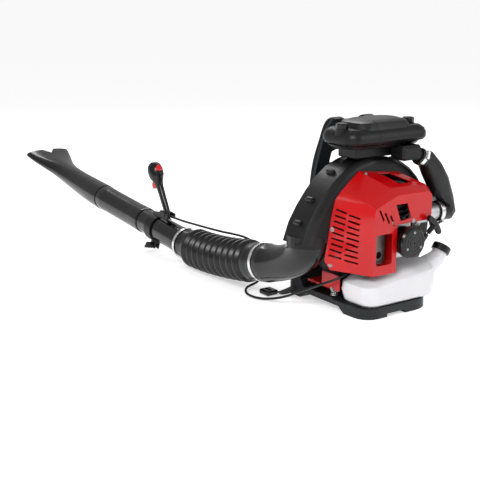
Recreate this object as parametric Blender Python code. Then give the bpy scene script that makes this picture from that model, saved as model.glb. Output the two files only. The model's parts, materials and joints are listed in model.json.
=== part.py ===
"""Backpack leaf blower: two-stroke engine, scroll fan, carrying frame and a hand-held blowpipe.

Row frame: metres, +Z up, +Y forward (the way the operator faces and the blowpipe points), +X to the
operator's right. The origin lies on the ground below the crankshaft. The crankshaft runs along Y.
"""

from math import cos, hypot, pi, radians, sin, sqrt, tau

import bmesh
import bpy
from mathutils import Matrix, Vector

# ---- driving dimensions -------------------------------------------------------------------------
GAP = 0.0003  # clearance between touching pieces
CRANK_Z = 0.178  # height of the crankshaft

# fan housing: a scroll whose radius grows from the tongue round to the outlet
SCROLL = ((180, 0.140), (225, 0.145), (270, 0.152), (315, 0.161), (360, 0.170), (405, 0.179), (450, 0.189),
          (485, 0.199), (505, 0.204), (520, 0.214), (531, 0.227), (540, 0.2365))
VOLUTE_MID_Y = -0.044
VOLUTE_HALF = 0.048
VOLUTE_WALL = 0.003
REAR_HOLE_R = 0.047
INTAKE_R = 0.078
FAN_R = 0.126
FAN_Y = (-0.061, -0.015)

# carrying frame
BASE_LEFT_X = -0.125
BASE_RIGHT_X = 0.103
BASE_REAR_Y = -0.183
BASE_FRONT_Y = 0.122
BASE_TOP = 0.026
SIDE_TOP = 0.030
SPRING_TOP = 0.0500

# recoil starter
STARTER_FACE_Y = -0.2075
STARTER_R = 0.0385
REEL_R = 0.025
PULL_ANGLE = radians(41.0)

# engine
CYLINDER_Y = -0.130
CYLINDER_BASE_Z = 0.2253
CYLINDER_TOP_Z = 0.288
BORE_R = 0.0240
FIN_R = 0.0365
CARB_Z = 0.220
CARB_Y = -0.120

# fuel tank
TANK_TOP = 0.106
TANK_SLOPE = 0.13  # rise of the tank's top from left to right
CAP_TILT = radians(35.0)
CAP_BASE = Vector((0.1570, -0.140, 0.1200))
CAP_R = 0.0235

# air cleaner
CLEANER_BASE_Z = 0.4005
CLEANER_END_Z = 0.439
CLEANER_TOP_Z = 0.4580
CLEANER_MID_X = -0.004
CLEANER_KNOB_X = 0.106
CLEANER_KNOB_Y = -0.066

# blowpipe
TUBE_X = -0.190
PIPE_R = 0.0372
PIPE_WALL = 0.0024
MOUTH_Z = 0.168
ELBOW_END = Vector((TUBE_X, 0.102, 0.0905))
PIPE_RISE = radians(5.9)
PIPE_START = Vector((TUBE_X, 0.476, 0.0570))
SWIVEL_LENGTH = 0.246
STRAIGHT_LENGTH = 0.265
RIBS = 10
RIB_R = 0.0560

# handle on the blowpipe
HANDLE_PIVOT = Vector((TUBE_X, 0.5960, 0.1225))
HANDLE_HEAD = Vector((TUBE_X, 0.6620, 0.2390))

ALONG = Vector((0.0, cos(PIPE_RISE), sin(PIPE_RISE)))
ABOVE = Vector((0.0, -sin(PIPE_RISE), cos(PIPE_RISE)))
SIDE = Vector((1.0, 0.0, 0.0))


# ---- mesh tools ---------------------------------------------------------------------------------
def clear_scene():
    for item in list(bpy.data.objects):
        bpy.data.objects.remove(item, do_unlink=True)


def material(name, colour, roughness, metallic=0.0):
    made = bpy.data.materials.new(name)
    made.use_nodes = True
    shader = made.node_tree.nodes["Principled BSDF"]
    shader.inputs["Base Color"].default_value = (*colour, 1.0)
    shader.inputs["Roughness"].default_value = roughness
    shader.inputs["Metallic"].default_value = metallic
    made.diffuse_color = (*colour, 1.0)
    return made


def skin(rings, wrap=False):
    """Joins equal rings of points with quads: capped at both ends, or wrapped last to first."""
    bm = bmesh.new()
    loops = [[bm.verts.new(point) for point in ring] for ring in rings]
    pairs = list(zip(loops, loops[1:]))
    if wrap:
        pairs.append((loops[-1], loops[0]))
    count = len(rings[0])
    for low, high in pairs:
        for k in range(count):
            following = (k + 1) % count
            bm.faces.new((low[k], low[following], high[following], high[k]))
    if not wrap:
        bm.faces.new(loops[0][::-1])
        bm.faces.new(loops[-1])
    bmesh.ops.recalc_face_normals(bm, faces=bm.faces)
    return bm


def axes_for(direction, hint=SIDE):
    """Two unit vectors square to a direction, the first as near to hint as it can be."""
    along = direction.normalized()
    first = (hint - along * hint.dot(along)).normalized()
    return first, along.cross(first)


def circle(centre, radius, direction, sides, hint=SIDE, phase=0.0):
    first, second = axes_for(direction, hint)
    points = []
    for k in range(sides):
        angle = phase + tau * k / sides
        points.append(centre + radius * (cos(angle) * first + sin(angle) * second))
    return points


def turned(profile, origin, direction, sides=20, hint=SIDE):
    """Solid of revolution from (radius, height) pairs, flat at both ends."""
    along = direction.normalized()
    return skin([circle(origin + height * along, radius, along, sides, hint) for radius, height in profile])


def turned_ring(profile, origin, direction, sides=20, hint=SIDE):
    """Ring from a closed loop of (radius, height) pairs, none on the axis."""
    along = direction.normalized()
    rings = [circle(origin + height * along, radius, along, sides, hint) for radius, height in profile]
    return skin(rings, wrap=True)


def swept(points, radii, sides=16, hint=SIDE, wall=None):
    """Round tube through a list of points, with a radius at each; wall makes it hollow."""
    count = len(points)
    directions = []
    for k in range(count):
        before = points[max(k - 1, 0)]
        after = points[min(k + 1, count - 1)]
        directions.append((after - before).normalized())
    outer = [circle(p, r, d, sides, hint) for p, r, d in zip(points, radii, directions)]
    if wall is None:
        return skin(outer)
    inner = [circle(p, r - wall, d, sides, hint) for p, r, d in zip(points, radii, directions)]
    return skin(outer + inner[::-1], wrap=True)


def prism(outline, direction, depth):
    """Extrudes a closed outline of points along a direction."""
    shift = direction * depth
    return skin([outline, [point + shift for point in outline]])


def block(low, high, bevel=0.0, segments=2):
    """Box between two corners, with rounded edges."""
    bm = bmesh.new()
    bmesh.ops.create_cube(bm, size=1.0)
    low, high = Vector(low), Vector(high)
    size = high - low
    for vert in bm.verts:
        vert.co = Vector(((vert.co.x + 0.5) * size.x, (vert.co.y + 0.5) * size.y, (vert.co.z + 0.5) * size.z))
        vert.co += low
    if bevel:
        bmesh.ops.bevel(bm, geom=bm.edges[:], offset=bevel, segments=segments, affect="EDGES", profile=0.5)
    return bm


def rounded_outline(half_x, half_y, radius, steps=3):
    """Points (x, y) of a rectangle with round corners, counter-clockwise."""
    points = []
    corners = ((1, 1, 0.0), (-1, 1, 0.5 * pi), (-1, -1, pi), (1, -1, 1.5 * pi))
    for sign_x, sign_y, start in corners:
        for k in range(steps + 1):
            angle = start + 0.5 * pi * k / steps
            x = sign_x * (half_x - radius) + radius * cos(angle)
            y = sign_y * (half_y - radius) + radius * sin(angle)
            points.append((x, y))
    return points


def bezier(start, pull_out, pull_in, end, steps):
    """Points along a cubic curve, both ends included."""
    points = []
    for k in range(steps + 1):
        t = k / steps
        s = 1.0 - t
        points.append(start * s**3 + pull_out * (3 * s * s * t) + pull_in * (3 * s * t * t) + end * t**3)
    return points


def smooth_route(knots, spacing):
    """Evenly spaced points on a Catmull-Rom curve through the knots."""
    padded = [2 * knots[0] - knots[1], *knots, 2 * knots[-1] - knots[-2]]
    dense = []
    for k in range(1, len(padded) - 2):
        p0, p1, p2, p3 = padded[k - 1 : k + 3]
        for step in range(12):
            t = step / 12
            dense.append(0.5 * (2 * p1 + (p2 - p0) * t + (2 * p0 - 5 * p1 + 4 * p2 - p3) * t**2
                                + (3 * p1 - p0 - 3 * p2 + p3) * t**3))
    dense.append(knots[-1].copy())
    total = sum((b - a).length for a, b in zip(dense, dense[1:]))
    count = max(2, round(total / spacing))
    wanted = [total * k / count for k in range(1, count)]
    route = [dense[0]]
    travelled = 0.0
    for a, b in zip(dense, dense[1:]):
        length = (b - a).length
        while wanted and wanted[0] <= travelled + length:
            route.append(a.lerp(b, (wanted.pop(0) - travelled) / length))
        travelled += length
    route.append(dense[-1])
    return route


def add(name, bm, look, origin=(0.0, 0.0, 0.0)):
    """Makes the named object from a mesh given in the row frame, with its origin where asked."""
    place = Vector(origin)
    bmesh.ops.translate(bm, verts=bm.verts, vec=-place)
    mesh = bpy.data.meshes.new(name)
    bm.to_mesh(mesh)
    bm.free()
    mesh.shade_smooth()
    mesh.set_sharp_from_angle(angle=radians(35.0))
    mesh.materials.append(look)
    made = bpy.data.objects.new(name, mesh)
    made.location = place
    bpy.context.scene.collection.objects.link(made)
    return made


def boolean(target, tool, operation):
    """Applies a second object to the first, which keeps one mesh, and removes the second."""
    step = target.modifiers.new("step", "BOOLEAN")
    step.operation = operation
    step.solver = "EXACT"
    step.object = tool
    bpy.context.view_layer.update()
    evaluated = target.evaluated_get(bpy.context.evaluated_depsgraph_get())
    mesh = bpy.data.meshes.new_from_object(evaluated)
    target.modifiers.remove(step)
    old = target.data
    target.data = mesh
    mesh.name = target.name
    bpy.data.meshes.remove(old)
    bpy.data.objects.remove(tool, do_unlink=True)
    return target


def combine(target, bm, operation):
    """Adds, cuts or keeps the shared part of a second solid."""
    return boolean(target, add("tool", bm, target.data.materials[0]), operation)


def join(target, bm):
    return combine(target, bm, "UNION")


def cut(target, bm):
    return combine(target, bm, "DIFFERENCE")


def keep_inside(target, bm):
    return combine(target, bm, "INTERSECT")


Y_AXIS = Vector((0.0, 1.0, 0.0))
Z_AXIS = Vector((0.0, 0.0, 1.0))


def crank_point(y):
    return Vector((0.0, y, CRANK_Z))


# ---- materials ----------------------------------------------------------------------------------
LOOKS = {
    "housing_black": material("housing_black", (0.030, 0.031, 0.033), 0.55),
    "gloss_black": material("gloss_black", (0.018, 0.018, 0.021), 0.25),
    "base_grey": material("base_grey", (0.070, 0.074, 0.082), 0.60),
    "cover_red": material("cover_red", (0.70, 0.012, 0.012), 0.22),
    "tank_white": material("tank_white", (0.78, 0.77, 0.83), 0.40),
    "rubber_black": material("rubber_black", (0.022, 0.022, 0.024), 0.45),
    "fabric_black": material("fabric_black", (0.035, 0.035, 0.038), 0.90),
    "clamp_steel": material("clamp_steel", (0.72, 0.72, 0.72), 0.28, 1.0),
    "cast_aluminium": material("cast_aluminium", (0.56, 0.56, 0.57), 0.45, 1.0),
    "engine_black": material("engine_black", (0.05, 0.05, 0.052), 0.55),
    "dark_steel": material("dark_steel", (0.30, 0.29, 0.28), 0.45, 1.0),
    "button_red": material("button_red", (0.75, 0.03, 0.04), 0.35),
    "paper_element": material("paper_element", (0.62, 0.52, 0.32), 0.85),
    "primer_clear": material("primer_clear", (0.62, 0.60, 0.55), 0.20),
    "ceramic_white": material("ceramic_white", (0.85, 0.84, 0.80), 0.25),
}


# ---- carrying frame -----------------------------------------------------------------------------
def base_frame():
    """Moulded base: a side profile drawn in (y, z) and extruded across, with rounded rear corners."""
    profile = (
        (BASE_REAR_Y, 0.0), (-0.105, 0.0), (-0.085, 0.014), (0.040, 0.016), (0.062, 0.0), (0.110, 0.0),
        (BASE_FRONT_Y, 0.012), (BASE_FRONT_Y, 0.050), (0.112, 0.060), (0.068, 0.060), (0.050, SIDE_TOP),
        (-0.062, SIDE_TOP), (-0.067, BASE_TOP), (BASE_REAR_Y, BASE_TOP),
    )
    left = [Vector((BASE_LEFT_X, y, z)) for y, z in profile]
    base = add("base_frame", prism(left, SIDE, BASE_RIGHT_X - BASE_LEFT_X), LOOKS["base_grey"])
    middle_y = (BASE_REAR_Y + BASE_FRONT_Y) / 2
    half_y = (BASE_FRONT_Y - BASE_REAR_Y) / 2
    column = []
    corners = ((BASE_RIGHT_X, half_y, 0.030, 0.0), (BASE_LEFT_X, half_y, 0.030, 0.5 * pi),
               (BASE_LEFT_X, -half_y, 0.040, pi), (BASE_RIGHT_X, -half_y, 0.066, 1.5 * pi))
    for x, y, radius, start in corners:
        inward_x = -radius if x > 0 else radius
        inward_y = -radius if y > 0 else radius
        hub = Vector((x + inward_x, middle_y + y + inward_y, -0.01))
        for k in range(6):
            angle = start + 0.1 * pi * k
            column.append(hub + Vector((radius * cos(angle), radius * sin(angle), 0.0)))
    keep_inside(base, prism(column, Z_AXIS, 0.10))
    cut(base, scroll_solid(-0.002))
    cut(base, block((-0.055, -0.190, -0.01), (0.004, -0.108, 0.008)))
    cut(base, block((-0.060, 0.050, -0.01), (0.060, 0.130, 0.014)))
    join(base, block((-0.030, -0.020, 0.0), (0.030, 0.020, 0.020)))  # middle foot, below the crankshaft
    return base


def back_profile():
    """Centre line (y, z, half width) of the back frame, foot to top."""
    return (
        (0.078, 0.0603, 0.104), (0.075, 0.120, 0.104), (0.069, 0.190, 0.102), (0.060, 0.270, 0.098),
        (0.048, 0.340, 0.092), (0.036, 0.395, 0.086), (0.026, 0.430, 0.080), (0.020, 0.448, 0.070),
    )


def leaning_slab(front, back, stations, inset=0.0):
    """Slab that follows the back frame, between two distances in front of its centre line."""
    rings = []
    for y, z, half in stations:
        width = half - inset
        rings.append([
            Vector((-width, y + back, z)),
            Vector((width, y + back, z)),
            Vector((width, y + front, z)),
            Vector((-width, y + front, z)),
        ])
    return skin(rings)


def back_frame():
    slab = leaning_slab(0.005, -0.005, back_profile())
    frame = add("back_frame", slab, LOOKS["base_grey"])
    cut(frame, block((-0.078, 0.030, 0.105), (0.078, 0.110, 0.262), 0.020))
    cut(frame, block((-0.055, 0.010, 0.300), (0.055, 0.090, 0.372), 0.015))
    cut(frame, block((-0.045, -0.010, 0.408), (0.045, 0.080, 0.432), 0.008))
    for sign in (-1, 1):
        cut(frame, block((sign * 0.092 - 0.006, 0.040, 0.100), (sign * 0.092 + 0.006, 0.140, 0.240), 0.004))
    return frame


def frame_struts():
    """Two arms that carry the top of the fan housing on the back frame."""
    for name, sign in (("frame_strut_left", -1), ("frame_strut_right", 1)):
        start = Vector((sign * 0.066, 0.0056, 0.300))
        end = Vector((sign * 0.070, 0.0470, 0.300))
        strut = add(name, swept([start, start.lerp(end, 0.2), start.lerp(end, 0.8), end],
                                [0.011, 0.007, 0.007, 0.009], 8, Z_AXIS), LOOKS["base_grey"])
        yield strut


def back_pad():
    stations = [row for row in back_profile() if 0.10 < row[1] < 0.36]
    return add("back_pad", leaning_slab(0.0175, 0.0055, stations, 0.026), LOOKS["fabric_black"])


def strap_route(sign):
    """Shoulder strap: over the top bar, down in front of the back pad and back to the foot."""
    x = sign * 0.050
    return [
        Vector((x, 0.0130, 0.4502)), Vector((x, 0.0290, 0.4520)), Vector((x, 0.0450, 0.4370)),
        Vector((x, 0.0590, 0.3950)), Vector((x, 0.0800, 0.3350)), Vector((x, 0.0930, 0.2650)),
        Vector((x * 1.06, 0.1030, 0.1950)), Vector((x * 1.16, 0.1050, 0.1350)),
        Vector((x * 1.28, 0.1000, 0.0900)), Vector((x * 1.40, 0.0950, 0.0625)),
    ]


def ribbon(route, widths, thicknesses):
    """Flat band along a route in the (y, z) plane, with a width and a thickness at each point."""
    rings = []
    count = len(route)
    for k, (point, width, thick) in enumerate(zip(route, widths, thicknesses)):
        tangent = (route[min(k + 1, count - 1)] - route[max(k - 1, 0)]).normalized()
        outward = tangent.cross(SIDE).normalized()
        across = SIDE * (width / 2)
        out = outward * (thick / 2)
        rings.append([point - across - out, point + across - out, point + across + out, point - across + out])
    return skin(rings)


def shoulder_straps():
    widths = (0.030, 0.044, 0.052, 0.054, 0.054, 0.052, 0.046, 0.030, 0.026, 0.026)
    thicknesses = (0.003, 0.008, 0.011, 0.012, 0.012, 0.011, 0.009, 0.004, 0.003, 0.003)
    for name, sign in (("shoulder_strap_left", -1), ("shoulder_strap_right", 1)):
        add(name, ribbon(strap_route(sign), widths, thicknesses), LOOKS["fabric_black"])


def lower_strap():
    """Loose adjusting strap that lies out to the left of the foot."""
    route = [
        Vector((-0.1262, 0.082, 0.0200)), Vector((-0.133, 0.090, 0.0140)), Vector((-0.143, 0.100, 0.0080)),
        Vector((-0.152, 0.110, 0.0056)), Vector((-0.160, 0.118, 0.0080)),
    ]
    rings = []
    for k, point in enumerate(route):
        tangent = (route[min(k + 1, 4)] - route[max(k - 1, 0)]).normalized()
        outward = tangent.cross(Y_AXIS).normalized() * 0.0012
        across = Y_AXIS * 0.0125
        rings.append([point - across - outward, point + across - outward,
                      point + across + outward, point - across + outward])
    add("lower_strap", skin(rings), LOOKS["fabric_black"])
    buckle = block((-0.1960, 0.104, 0.0020), (-0.1608, 0.142, 0.0150), 0.003, 1)
    made = add("strap_buckle", buckle, LOOKS["rubber_black"])
    cut(made, block((-0.184, 0.111, 0.0), (-0.176, 0.135, 0.03)))
    return made


def isolator_spring(name, x, y):
    """Coil spring between the base and the engine's feet."""
    turns, radius, wire, per_turn = 3.5, 0.0085, 0.0012, 9
    low = SIDE_TOP + GAP + wire
    high = SPRING_TOP - wire
    count = int(turns * per_turn)
    points = []
    for k in range(count + 1):
        angle = tau * turns * k / count
        rise = low + (high - low) * k / count
        points.append(Vector((x + radius * cos(angle), y + radius * sin(angle), rise)))
    return add(name, swept(points, [wire] * len(points), 5, Z_AXIS), LOOKS["clamp_steel"])


def lower_bracket():
    """Red cross member that carries the engine and the fan housing on the springs."""
    low = SPRING_TOP + GAP
    bracket = add("engine_bracket", block((-0.126, -0.066, low), (0.100, 0.034, low + 0.0055), 0.002, 1),
                  LOOKS["cover_red"])
    join(bracket, block((-0.126, -0.088, low), (-0.1218, -0.022, 0.090), 0.0018, 1))
    cut(bracket, scroll_solid(-0.0015))
    return bracket


# ---- fan housing --------------------------------------------------------------------------------
def scroll_radius(turn):
    """Radius at a share of the full turn, from the scroll's few named stations."""
    angle = 180.0 + 360.0 * turn
    for (low, small), (high, large) in zip(SCROLL, SCROLL[1:]):
        if angle <= high:
            return small + (large - small) * (angle - low) / (high - low)
    return SCROLL[-1][1]


def scroll_ring(y, inset, wall=0.0, steps=32):
    """Outline of the scroll at one station: from the tongue, under, round and over to the outlet."""
    points = []
    for k in range(steps + 1):
        turn = k / steps
        angle = pi + tau * turn
        radius = scroll_radius(turn) - inset * (0.25 + 0.75 * turn) - wall
        lift = wall if k in (0, steps) else 0.0
        points.append(Vector((radius * cos(angle), y, CRANK_Z + radius * sin(angle) + lift)))
    return points


def scroll_solid(wall=0.0):
    half = VOLUTE_HALF - wall
    crown = ((1.00, 0.024), (0.93, 0.010), (0.74, 0.0))
    stations = [(-share, inset) for share, inset in crown]
    stations += [(share, inset) for share, inset in reversed(crown)]
    return skin([scroll_ring(VOLUTE_MID_Y + share * half, inset, wall) for share, inset in stations])


def volute_shell(name):
    mouth = Vector((TUBE_X, VOLUTE_MID_Y, MOUTH_Z))
    shell = add(name, scroll_solid(), LOOKS["housing_black"])
    join(shell, turned([(0.0495, 0.0), (0.0495, 0.026)], mouth, Z_AXIS, 28))
    cut(shell, scroll_solid(VOLUTE_WALL))
    cut(shell, turned([(0.0462, -0.010), (0.0462, 0.0235)], mouth, Z_AXIS, 28))
    return shell


def volute_halves():
    reach = 0.4
    rear = volute_shell("volute_rear")
    keep_inside(rear, block((-reach, -reach, -reach), (reach, VOLUTE_MID_Y - GAP / 2, 2 * reach)))
    cut(rear, turned([(REAR_HOLE_R, -0.02), (REAR_HOLE_R, 0.02)], crank_point(-0.090), Y_AXIS, 28))
    front = volute_shell("volute_front")
    keep_inside(front, block((-reach, VOLUTE_MID_Y + GAP / 2, -reach), (reach, reach, 2 * reach)))
    cut(front, turned([(INTAKE_R, -0.02), (INTAKE_R, 0.02)], crank_point(0.004), Y_AXIS, 28))


def intake_guard():
    """Grille over the fan's air intake: rings on four bars."""
    plane = crank_point(VOLUTE_MID_Y + VOLUTE_HALF + GAP)
    guard = add("intake_guard", turned_ring([(0.079, 0.0), (0.087, 0.0), (0.087, 0.006), (0.079, 0.006)],
                                            plane, Y_AXIS, 24), LOOKS["housing_black"])
    for radius in (0.034, 0.057):
        low, high = radius - 0.002, radius + 0.002
        ring = [(low, 0.001), (high, 0.001), (high, 0.005), (low, 0.005)]
        join(guard, turned_ring(ring, plane, Y_AXIS, 16))
    for k in range(3):
        spin = Matrix.Translation(plane) @ Matrix.Rotation(pi * k / 3, 4, "Y")
        bar = block((-0.083, 0.0015, -0.0022), (0.083, 0.0045, 0.0022))
        bmesh.ops.transform(bar, matrix=spin, verts=bar.verts)
        join(guard, bar)
    return guard


def fan():
    """Radial impeller: a back plate, a hub and curved-back blades."""
    blades = 14
    rear, front = FAN_Y
    centre = crank_point(0.0)
    wheel = turned([(FAN_R, rear), (FAN_R, rear + 0.003)], centre, Y_AXIS, 42)
    impeller = add("fan_impeller", wheel, LOOKS["housing_black"], centre)
    outline = []
    for k in range(blades):
        start = tau * k / blades
        width = 0.0016
        for radius, lag, side in ((0.040, 0.0, 1), (0.085, -0.14, 1), (0.126, -0.34, 1),
                                  (0.126, -0.34, -1), (0.085, -0.14, -1), (0.040, 0.0, -1)):
            angle = start + lag - side * width / radius
            outline.append((radius, angle))
    points = [Vector((r * cos(a), rear + 0.002, CRANK_Z + r * sin(a))) for r, a in outline]
    join(impeller, prism(points, Y_AXIS, front - rear - 0.002))
    cut(impeller, turned([(0.0083, rear - 0.01), (0.0083, front + 0.01)], centre, Y_AXIS, 16))
    return impeller


def flywheel():
    profile = [(0.0083, -0.083), (0.038, -0.083), (0.038, -0.069), (0.030, -0.0615), (0.0083, -0.0615)]
    return add("flywheel", turned_ring(profile, crank_point(0.0), Y_AXIS, 28), LOOKS["dark_steel"],
               crank_point(0.0))


def crankshaft():
    profile = [(0.006, -0.181), (0.006, -0.160), (0.008, -0.158), (0.008, -0.141), (0.026, -0.141),
               (0.026, -0.116), (0.008, -0.116), (0.008, -0.014), (0.006, -0.012)]
    centre = crank_point(0.0)
    return add("crankshaft", turned(profile, centre, Y_AXIS, 18), LOOKS["dark_steel"], centre)


# ---- engine -------------------------------------------------------------------------------------
def crankcase():
    case = add("crankcase", block((-0.0332, -0.158, 0.128), (0.040, -0.0925, 0.225), 0.012, 2),
               LOOKS["cast_aluminium"])
    flange = turned([(0.0462, -0.0915), (0.0462, -0.0845)], crank_point(0.0), Y_AXIS, 28)
    join(case, flange)
    join(case, turned([(0.030, -0.098), (0.0325, -0.090)], crank_point(0.0), Y_AXIS, 24))
    join(case, turned([(0.030, -0.165), (0.030, -0.150)], crank_point(0.0), Y_AXIS, 24))
    cut(case, turned([(0.031, -0.145), (0.031, -0.112)], crank_point(0.0), Y_AXIS, 24))
    cut(case, turned([(BORE_R, 0.190), (BORE_R, 0.240)], Vector((0.0, CYLINDER_Y, 0.0)), Z_AXIS, 20))
    cut(case, turned([(0.0083, -0.20), (0.0083, -0.05)], crank_point(0.0), Y_AXIS, 16))
    cut(case, turned([(0.0400, -0.0900), (0.0400, -0.05)], crank_point(0.0), Y_AXIS, 24))
    return case


def cylinder():
    """Finned barrel; its bore is open below, to the crankcase."""
    profile = [(BORE_R, CYLINDER_BASE_Z), (0.031, CYLINDER_BASE_Z), (0.031, 0.231)]
    fins, pitch, thick = 4, 0.0125, 0.004
    for k in range(fins):
        low = 0.231 + k * pitch
        profile += [(0.029, low + 0.001), (FIN_R, low + 0.002), (FIN_R, low + 0.002 + thick),
                    (0.029, low + 0.008)]
    profile += [(0.029, CYLINDER_TOP_Z), (0.010, CYLINDER_TOP_Z), (0.0064, CYLINDER_TOP_Z), (0.0064, 0.281),
                (BORE_R, 0.276)]
    axis = Vector((0.0, CYLINDER_Y, 0.0))
    barrel = add("cylinder", turned_ring(profile, axis, Z_AXIS, 16), LOOKS["engine_black"])
    join(barrel, block((0.030, CARB_Y - 0.016, 0.232), (0.0450, CARB_Y + 0.012, 0.258), 0.002, 1))
    return barrel


def piston():
    profile = [(0.0205, 0.240), (0.0231, 0.240), (0.0231, 0.272), (0.004, 0.2735), (0.004, 0.268),
               (0.0205, 0.266)]
    return add("piston", turned_ring(profile, Vector((0.0, CYLINDER_Y, 0.0)), Z_AXIS, 20),
               LOOKS["cast_aluminium"])


def spark_plug():
    axis = Vector((0.0, CYLINDER_Y, 0.0))
    plug = turned([(0.0020, 0.2765), (0.0061, 0.279), (0.0061, 0.2882), (0.0061, 0.2886)], axis, Z_AXIS, 12)
    made = add("spark_plug", plug, LOOKS["ceramic_white"])
    join(made, turned([(0.0095, 0.2884), (0.0095, 0.294), (0.0055, 0.296), (0.0055, 0.306), (0.003, 0.308)],
                      axis, Z_AXIS, 12))
    return made


def plug_cap():
    """Rubber boot over the spark plug, with its lead going back to the coil."""
    axis = Vector((0.0, CYLINDER_Y, 0.0))
    profile = [(0.0058, 0.2975), (0.0095, 0.2975), (0.0105, 0.312), (0.0085, 0.3155), (0.0020, 0.3155),
               (0.0020, 0.3085), (0.0058, 0.3085)]
    cap = add("plug_cap", turned_ring(profile, axis, Z_AXIS, 14), LOOKS["rubber_black"])
    join(cap, swept([Vector((0.004, CYLINDER_Y, 0.3075 + 0.0035)), Vector((0.020, CYLINDER_Y - 0.006, 0.309)),
                     Vector((0.030, CYLINDER_Y - 0.010, 0.302)), Vector((0.033, CYLINDER_Y - 0.013, 0.292))],
                    [0.0034] * 4, 8, Y_AXIS))
    return cap


def muffler():
    case = block((-0.094, -0.164, 0.126), (-0.0480, -0.098, 0.204), 0.008, 2)
    body = add("muffler", case, LOOKS["dark_steel"])
    join(body, block((-0.0500, CYLINDER_Y - 0.014, 0.196), (-0.0420, CYLINDER_Y + 0.014, 0.222), 0.002, 1))
    cut(body, turned([(0.0085, -0.180), (0.0085, -0.150)], Vector((-0.072, 0.0, 0.150)), Y_AXIS, 14))
    return body


def carburettor():
    """Carburettor body with the air horn that the intake elbow slips over."""
    case = block((0.0703, CARB_Y - 0.022, 0.202), (0.118, CARB_Y + 0.020, 0.242), 0.003, 1)
    body = add("carburettor", case,
               LOOKS["cast_aluminium"])
    horn = [(0.0212, 0.112), (0.0212, 0.172)]
    join(body, turned(horn, Vector((0.0, CARB_Y, CARB_Z)), SIDE, 20, Y_AXIS))
    cut(body, turned([(0.0165, 0.060), (0.0165, 0.200)], Vector((0.0, CARB_Y, CARB_Z)), SIDE, 16, Y_AXIS))
    return body


def insulator():
    block_mesh = block((0.0453, CARB_Y - 0.018, 0.208), (0.0700, CARB_Y + 0.016, 0.246), 0.002, 1)
    made = add("carburettor_insulator", block_mesh, LOOKS["rubber_black"])
    return made


THROTTLE_AXIS = Vector((0.098, CARB_Y + 0.0203, 0.226))
CHOKE_AXIS = Vector((0.106, CARB_Y - 0.0223, 0.226))


def carburettor_levers():
    """Throttle lever on the front of the carburettor and choke lever on its rear."""
    lever = add("throttle_lever", turned([(0.0050, 0.0), (0.0050, 0.0040)], THROTTLE_AXIS, Y_AXIS, 12),
                LOOKS["dark_steel"], THROTTLE_AXIS)
    arm = [Vector((0.0, 0.001, 0.0035)), Vector((0.0, 0.001, -0.0035)), Vector((-0.016, 0.001, -0.0185)),
           Vector((-0.020, 0.001, -0.0145))]
    join(lever, prism([THROTTLE_AXIS + p for p in arm], Y_AXIS, 0.0024))
    choke = add("choke_lever", turned([(0.0045, 0.0), (0.0045, -0.0050)], CHOKE_AXIS, Y_AXIS, 12),
                LOOKS["rubber_black"], CHOKE_AXIS)
    arm = [Vector((-0.0035, -0.0045, 0.0)), Vector((0.0035, -0.0045, 0.0)),
           Vector((0.0150, -0.0045, -0.0300)), Vector((0.0070, -0.0045, -0.0330))]
    join(choke, prism([CHOKE_AXIS + p for p in arm], Y_AXIS, 0.0032))


def primer_bulb():
    centre = Vector((0.094, CARB_Y, 0.2017))
    profile = [(0.0085, 0.0), (0.0085, -0.003), (0.0068, -0.0085), (0.003, -0.011)]
    return add("primer_bulb", turned(profile, centre, Z_AXIS, 14), LOOKS["primer_clear"], centre)


COVER_FRONT_Y = -0.0926
COVER_WAIST_Y = -0.164
COVER_REAR_Y = -0.184
COVER_LEG_X = -0.034
COVER_FLOOR_Z = 0.222
VENT_RISE = radians(16.0)


def cover_section(y, bottom, left, top, right, shrink):
    """Outline of the engine cover at one station: a leg on the left, open below, under a wide body."""
    low_left, low_z = bottom
    right_x, right_top = right
    points = [(low_left + shrink, low_z - shrink), (COVER_LEG_X - shrink, low_z - shrink),
              (COVER_LEG_X - shrink, COVER_FLOOR_Z - shrink), (right_x - shrink, COVER_FLOOR_Z - shrink),
              (right_x - shrink, right_top - shrink)]
    points += [(x, z - shrink) for x, z in top]
    points += [(x + shrink, z) for x, z in left]
    return [Vector((x, y, z)) for x, z in points]


def cover_solid(shrink, overrun=0.0):
    """Outer form of the engine cover, less a wall; overrun lengthens it past its open front."""
    rear = cover_section(
        COVER_REAR_Y + shrink, (-0.106, 0.107),
        ((-0.103, 0.266), (-0.106, 0.252), (-0.1085, 0.235), (-0.109, 0.185), (-0.109, 0.135)),
        ((0.066, 0.291), (-0.034, 0.292)), (0.076, 0.281), shrink)
    waist = cover_section(
        COVER_WAIST_Y, (-0.113, 0.107),
        ((-0.109, 0.276), (-0.114, 0.262), (-0.1165, 0.235), (-0.117, 0.185), (-0.117, 0.135)),
        ((0.070, 0.305), (-0.040, 0.306)), (0.082, 0.295), shrink)
    flare = ((-0.129, 0.300), (-0.148, 0.280), (-0.160, 0.235), (-0.168, 0.185), (-0.178, 0.138))
    front_rows = [cover_section(COVER_FRONT_Y + extra, (-0.160, 0.112), flare,
                                ((0.050, 0.326), (-0.078, 0.340)), (0.083, 0.306), shrink)
                  for extra in ((0.0, overrun) if overrun else (0.0,))]
    solid = skin([rear, waist, *front_rows])
    bmesh.ops.triangulate(solid, faces=solid.faces, quad_method="FIXED")
    return solid


def vent_cutter(y, low_z, thick=0.0045):
    """Slot through the left side of the cover, rising a little to the front."""
    slot = block((-0.200, -0.0130, -0.5 * thick), (-0.103, 0.0130, 0.5 * thick))
    place = Matrix.Translation(Vector((0.0, y, low_z + 0.5 * thick))) @ Matrix.Rotation(VENT_RISE, 4, "X")
    bmesh.ops.transform(slot, matrix=place, verts=slot.verts)
    return slot


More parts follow.
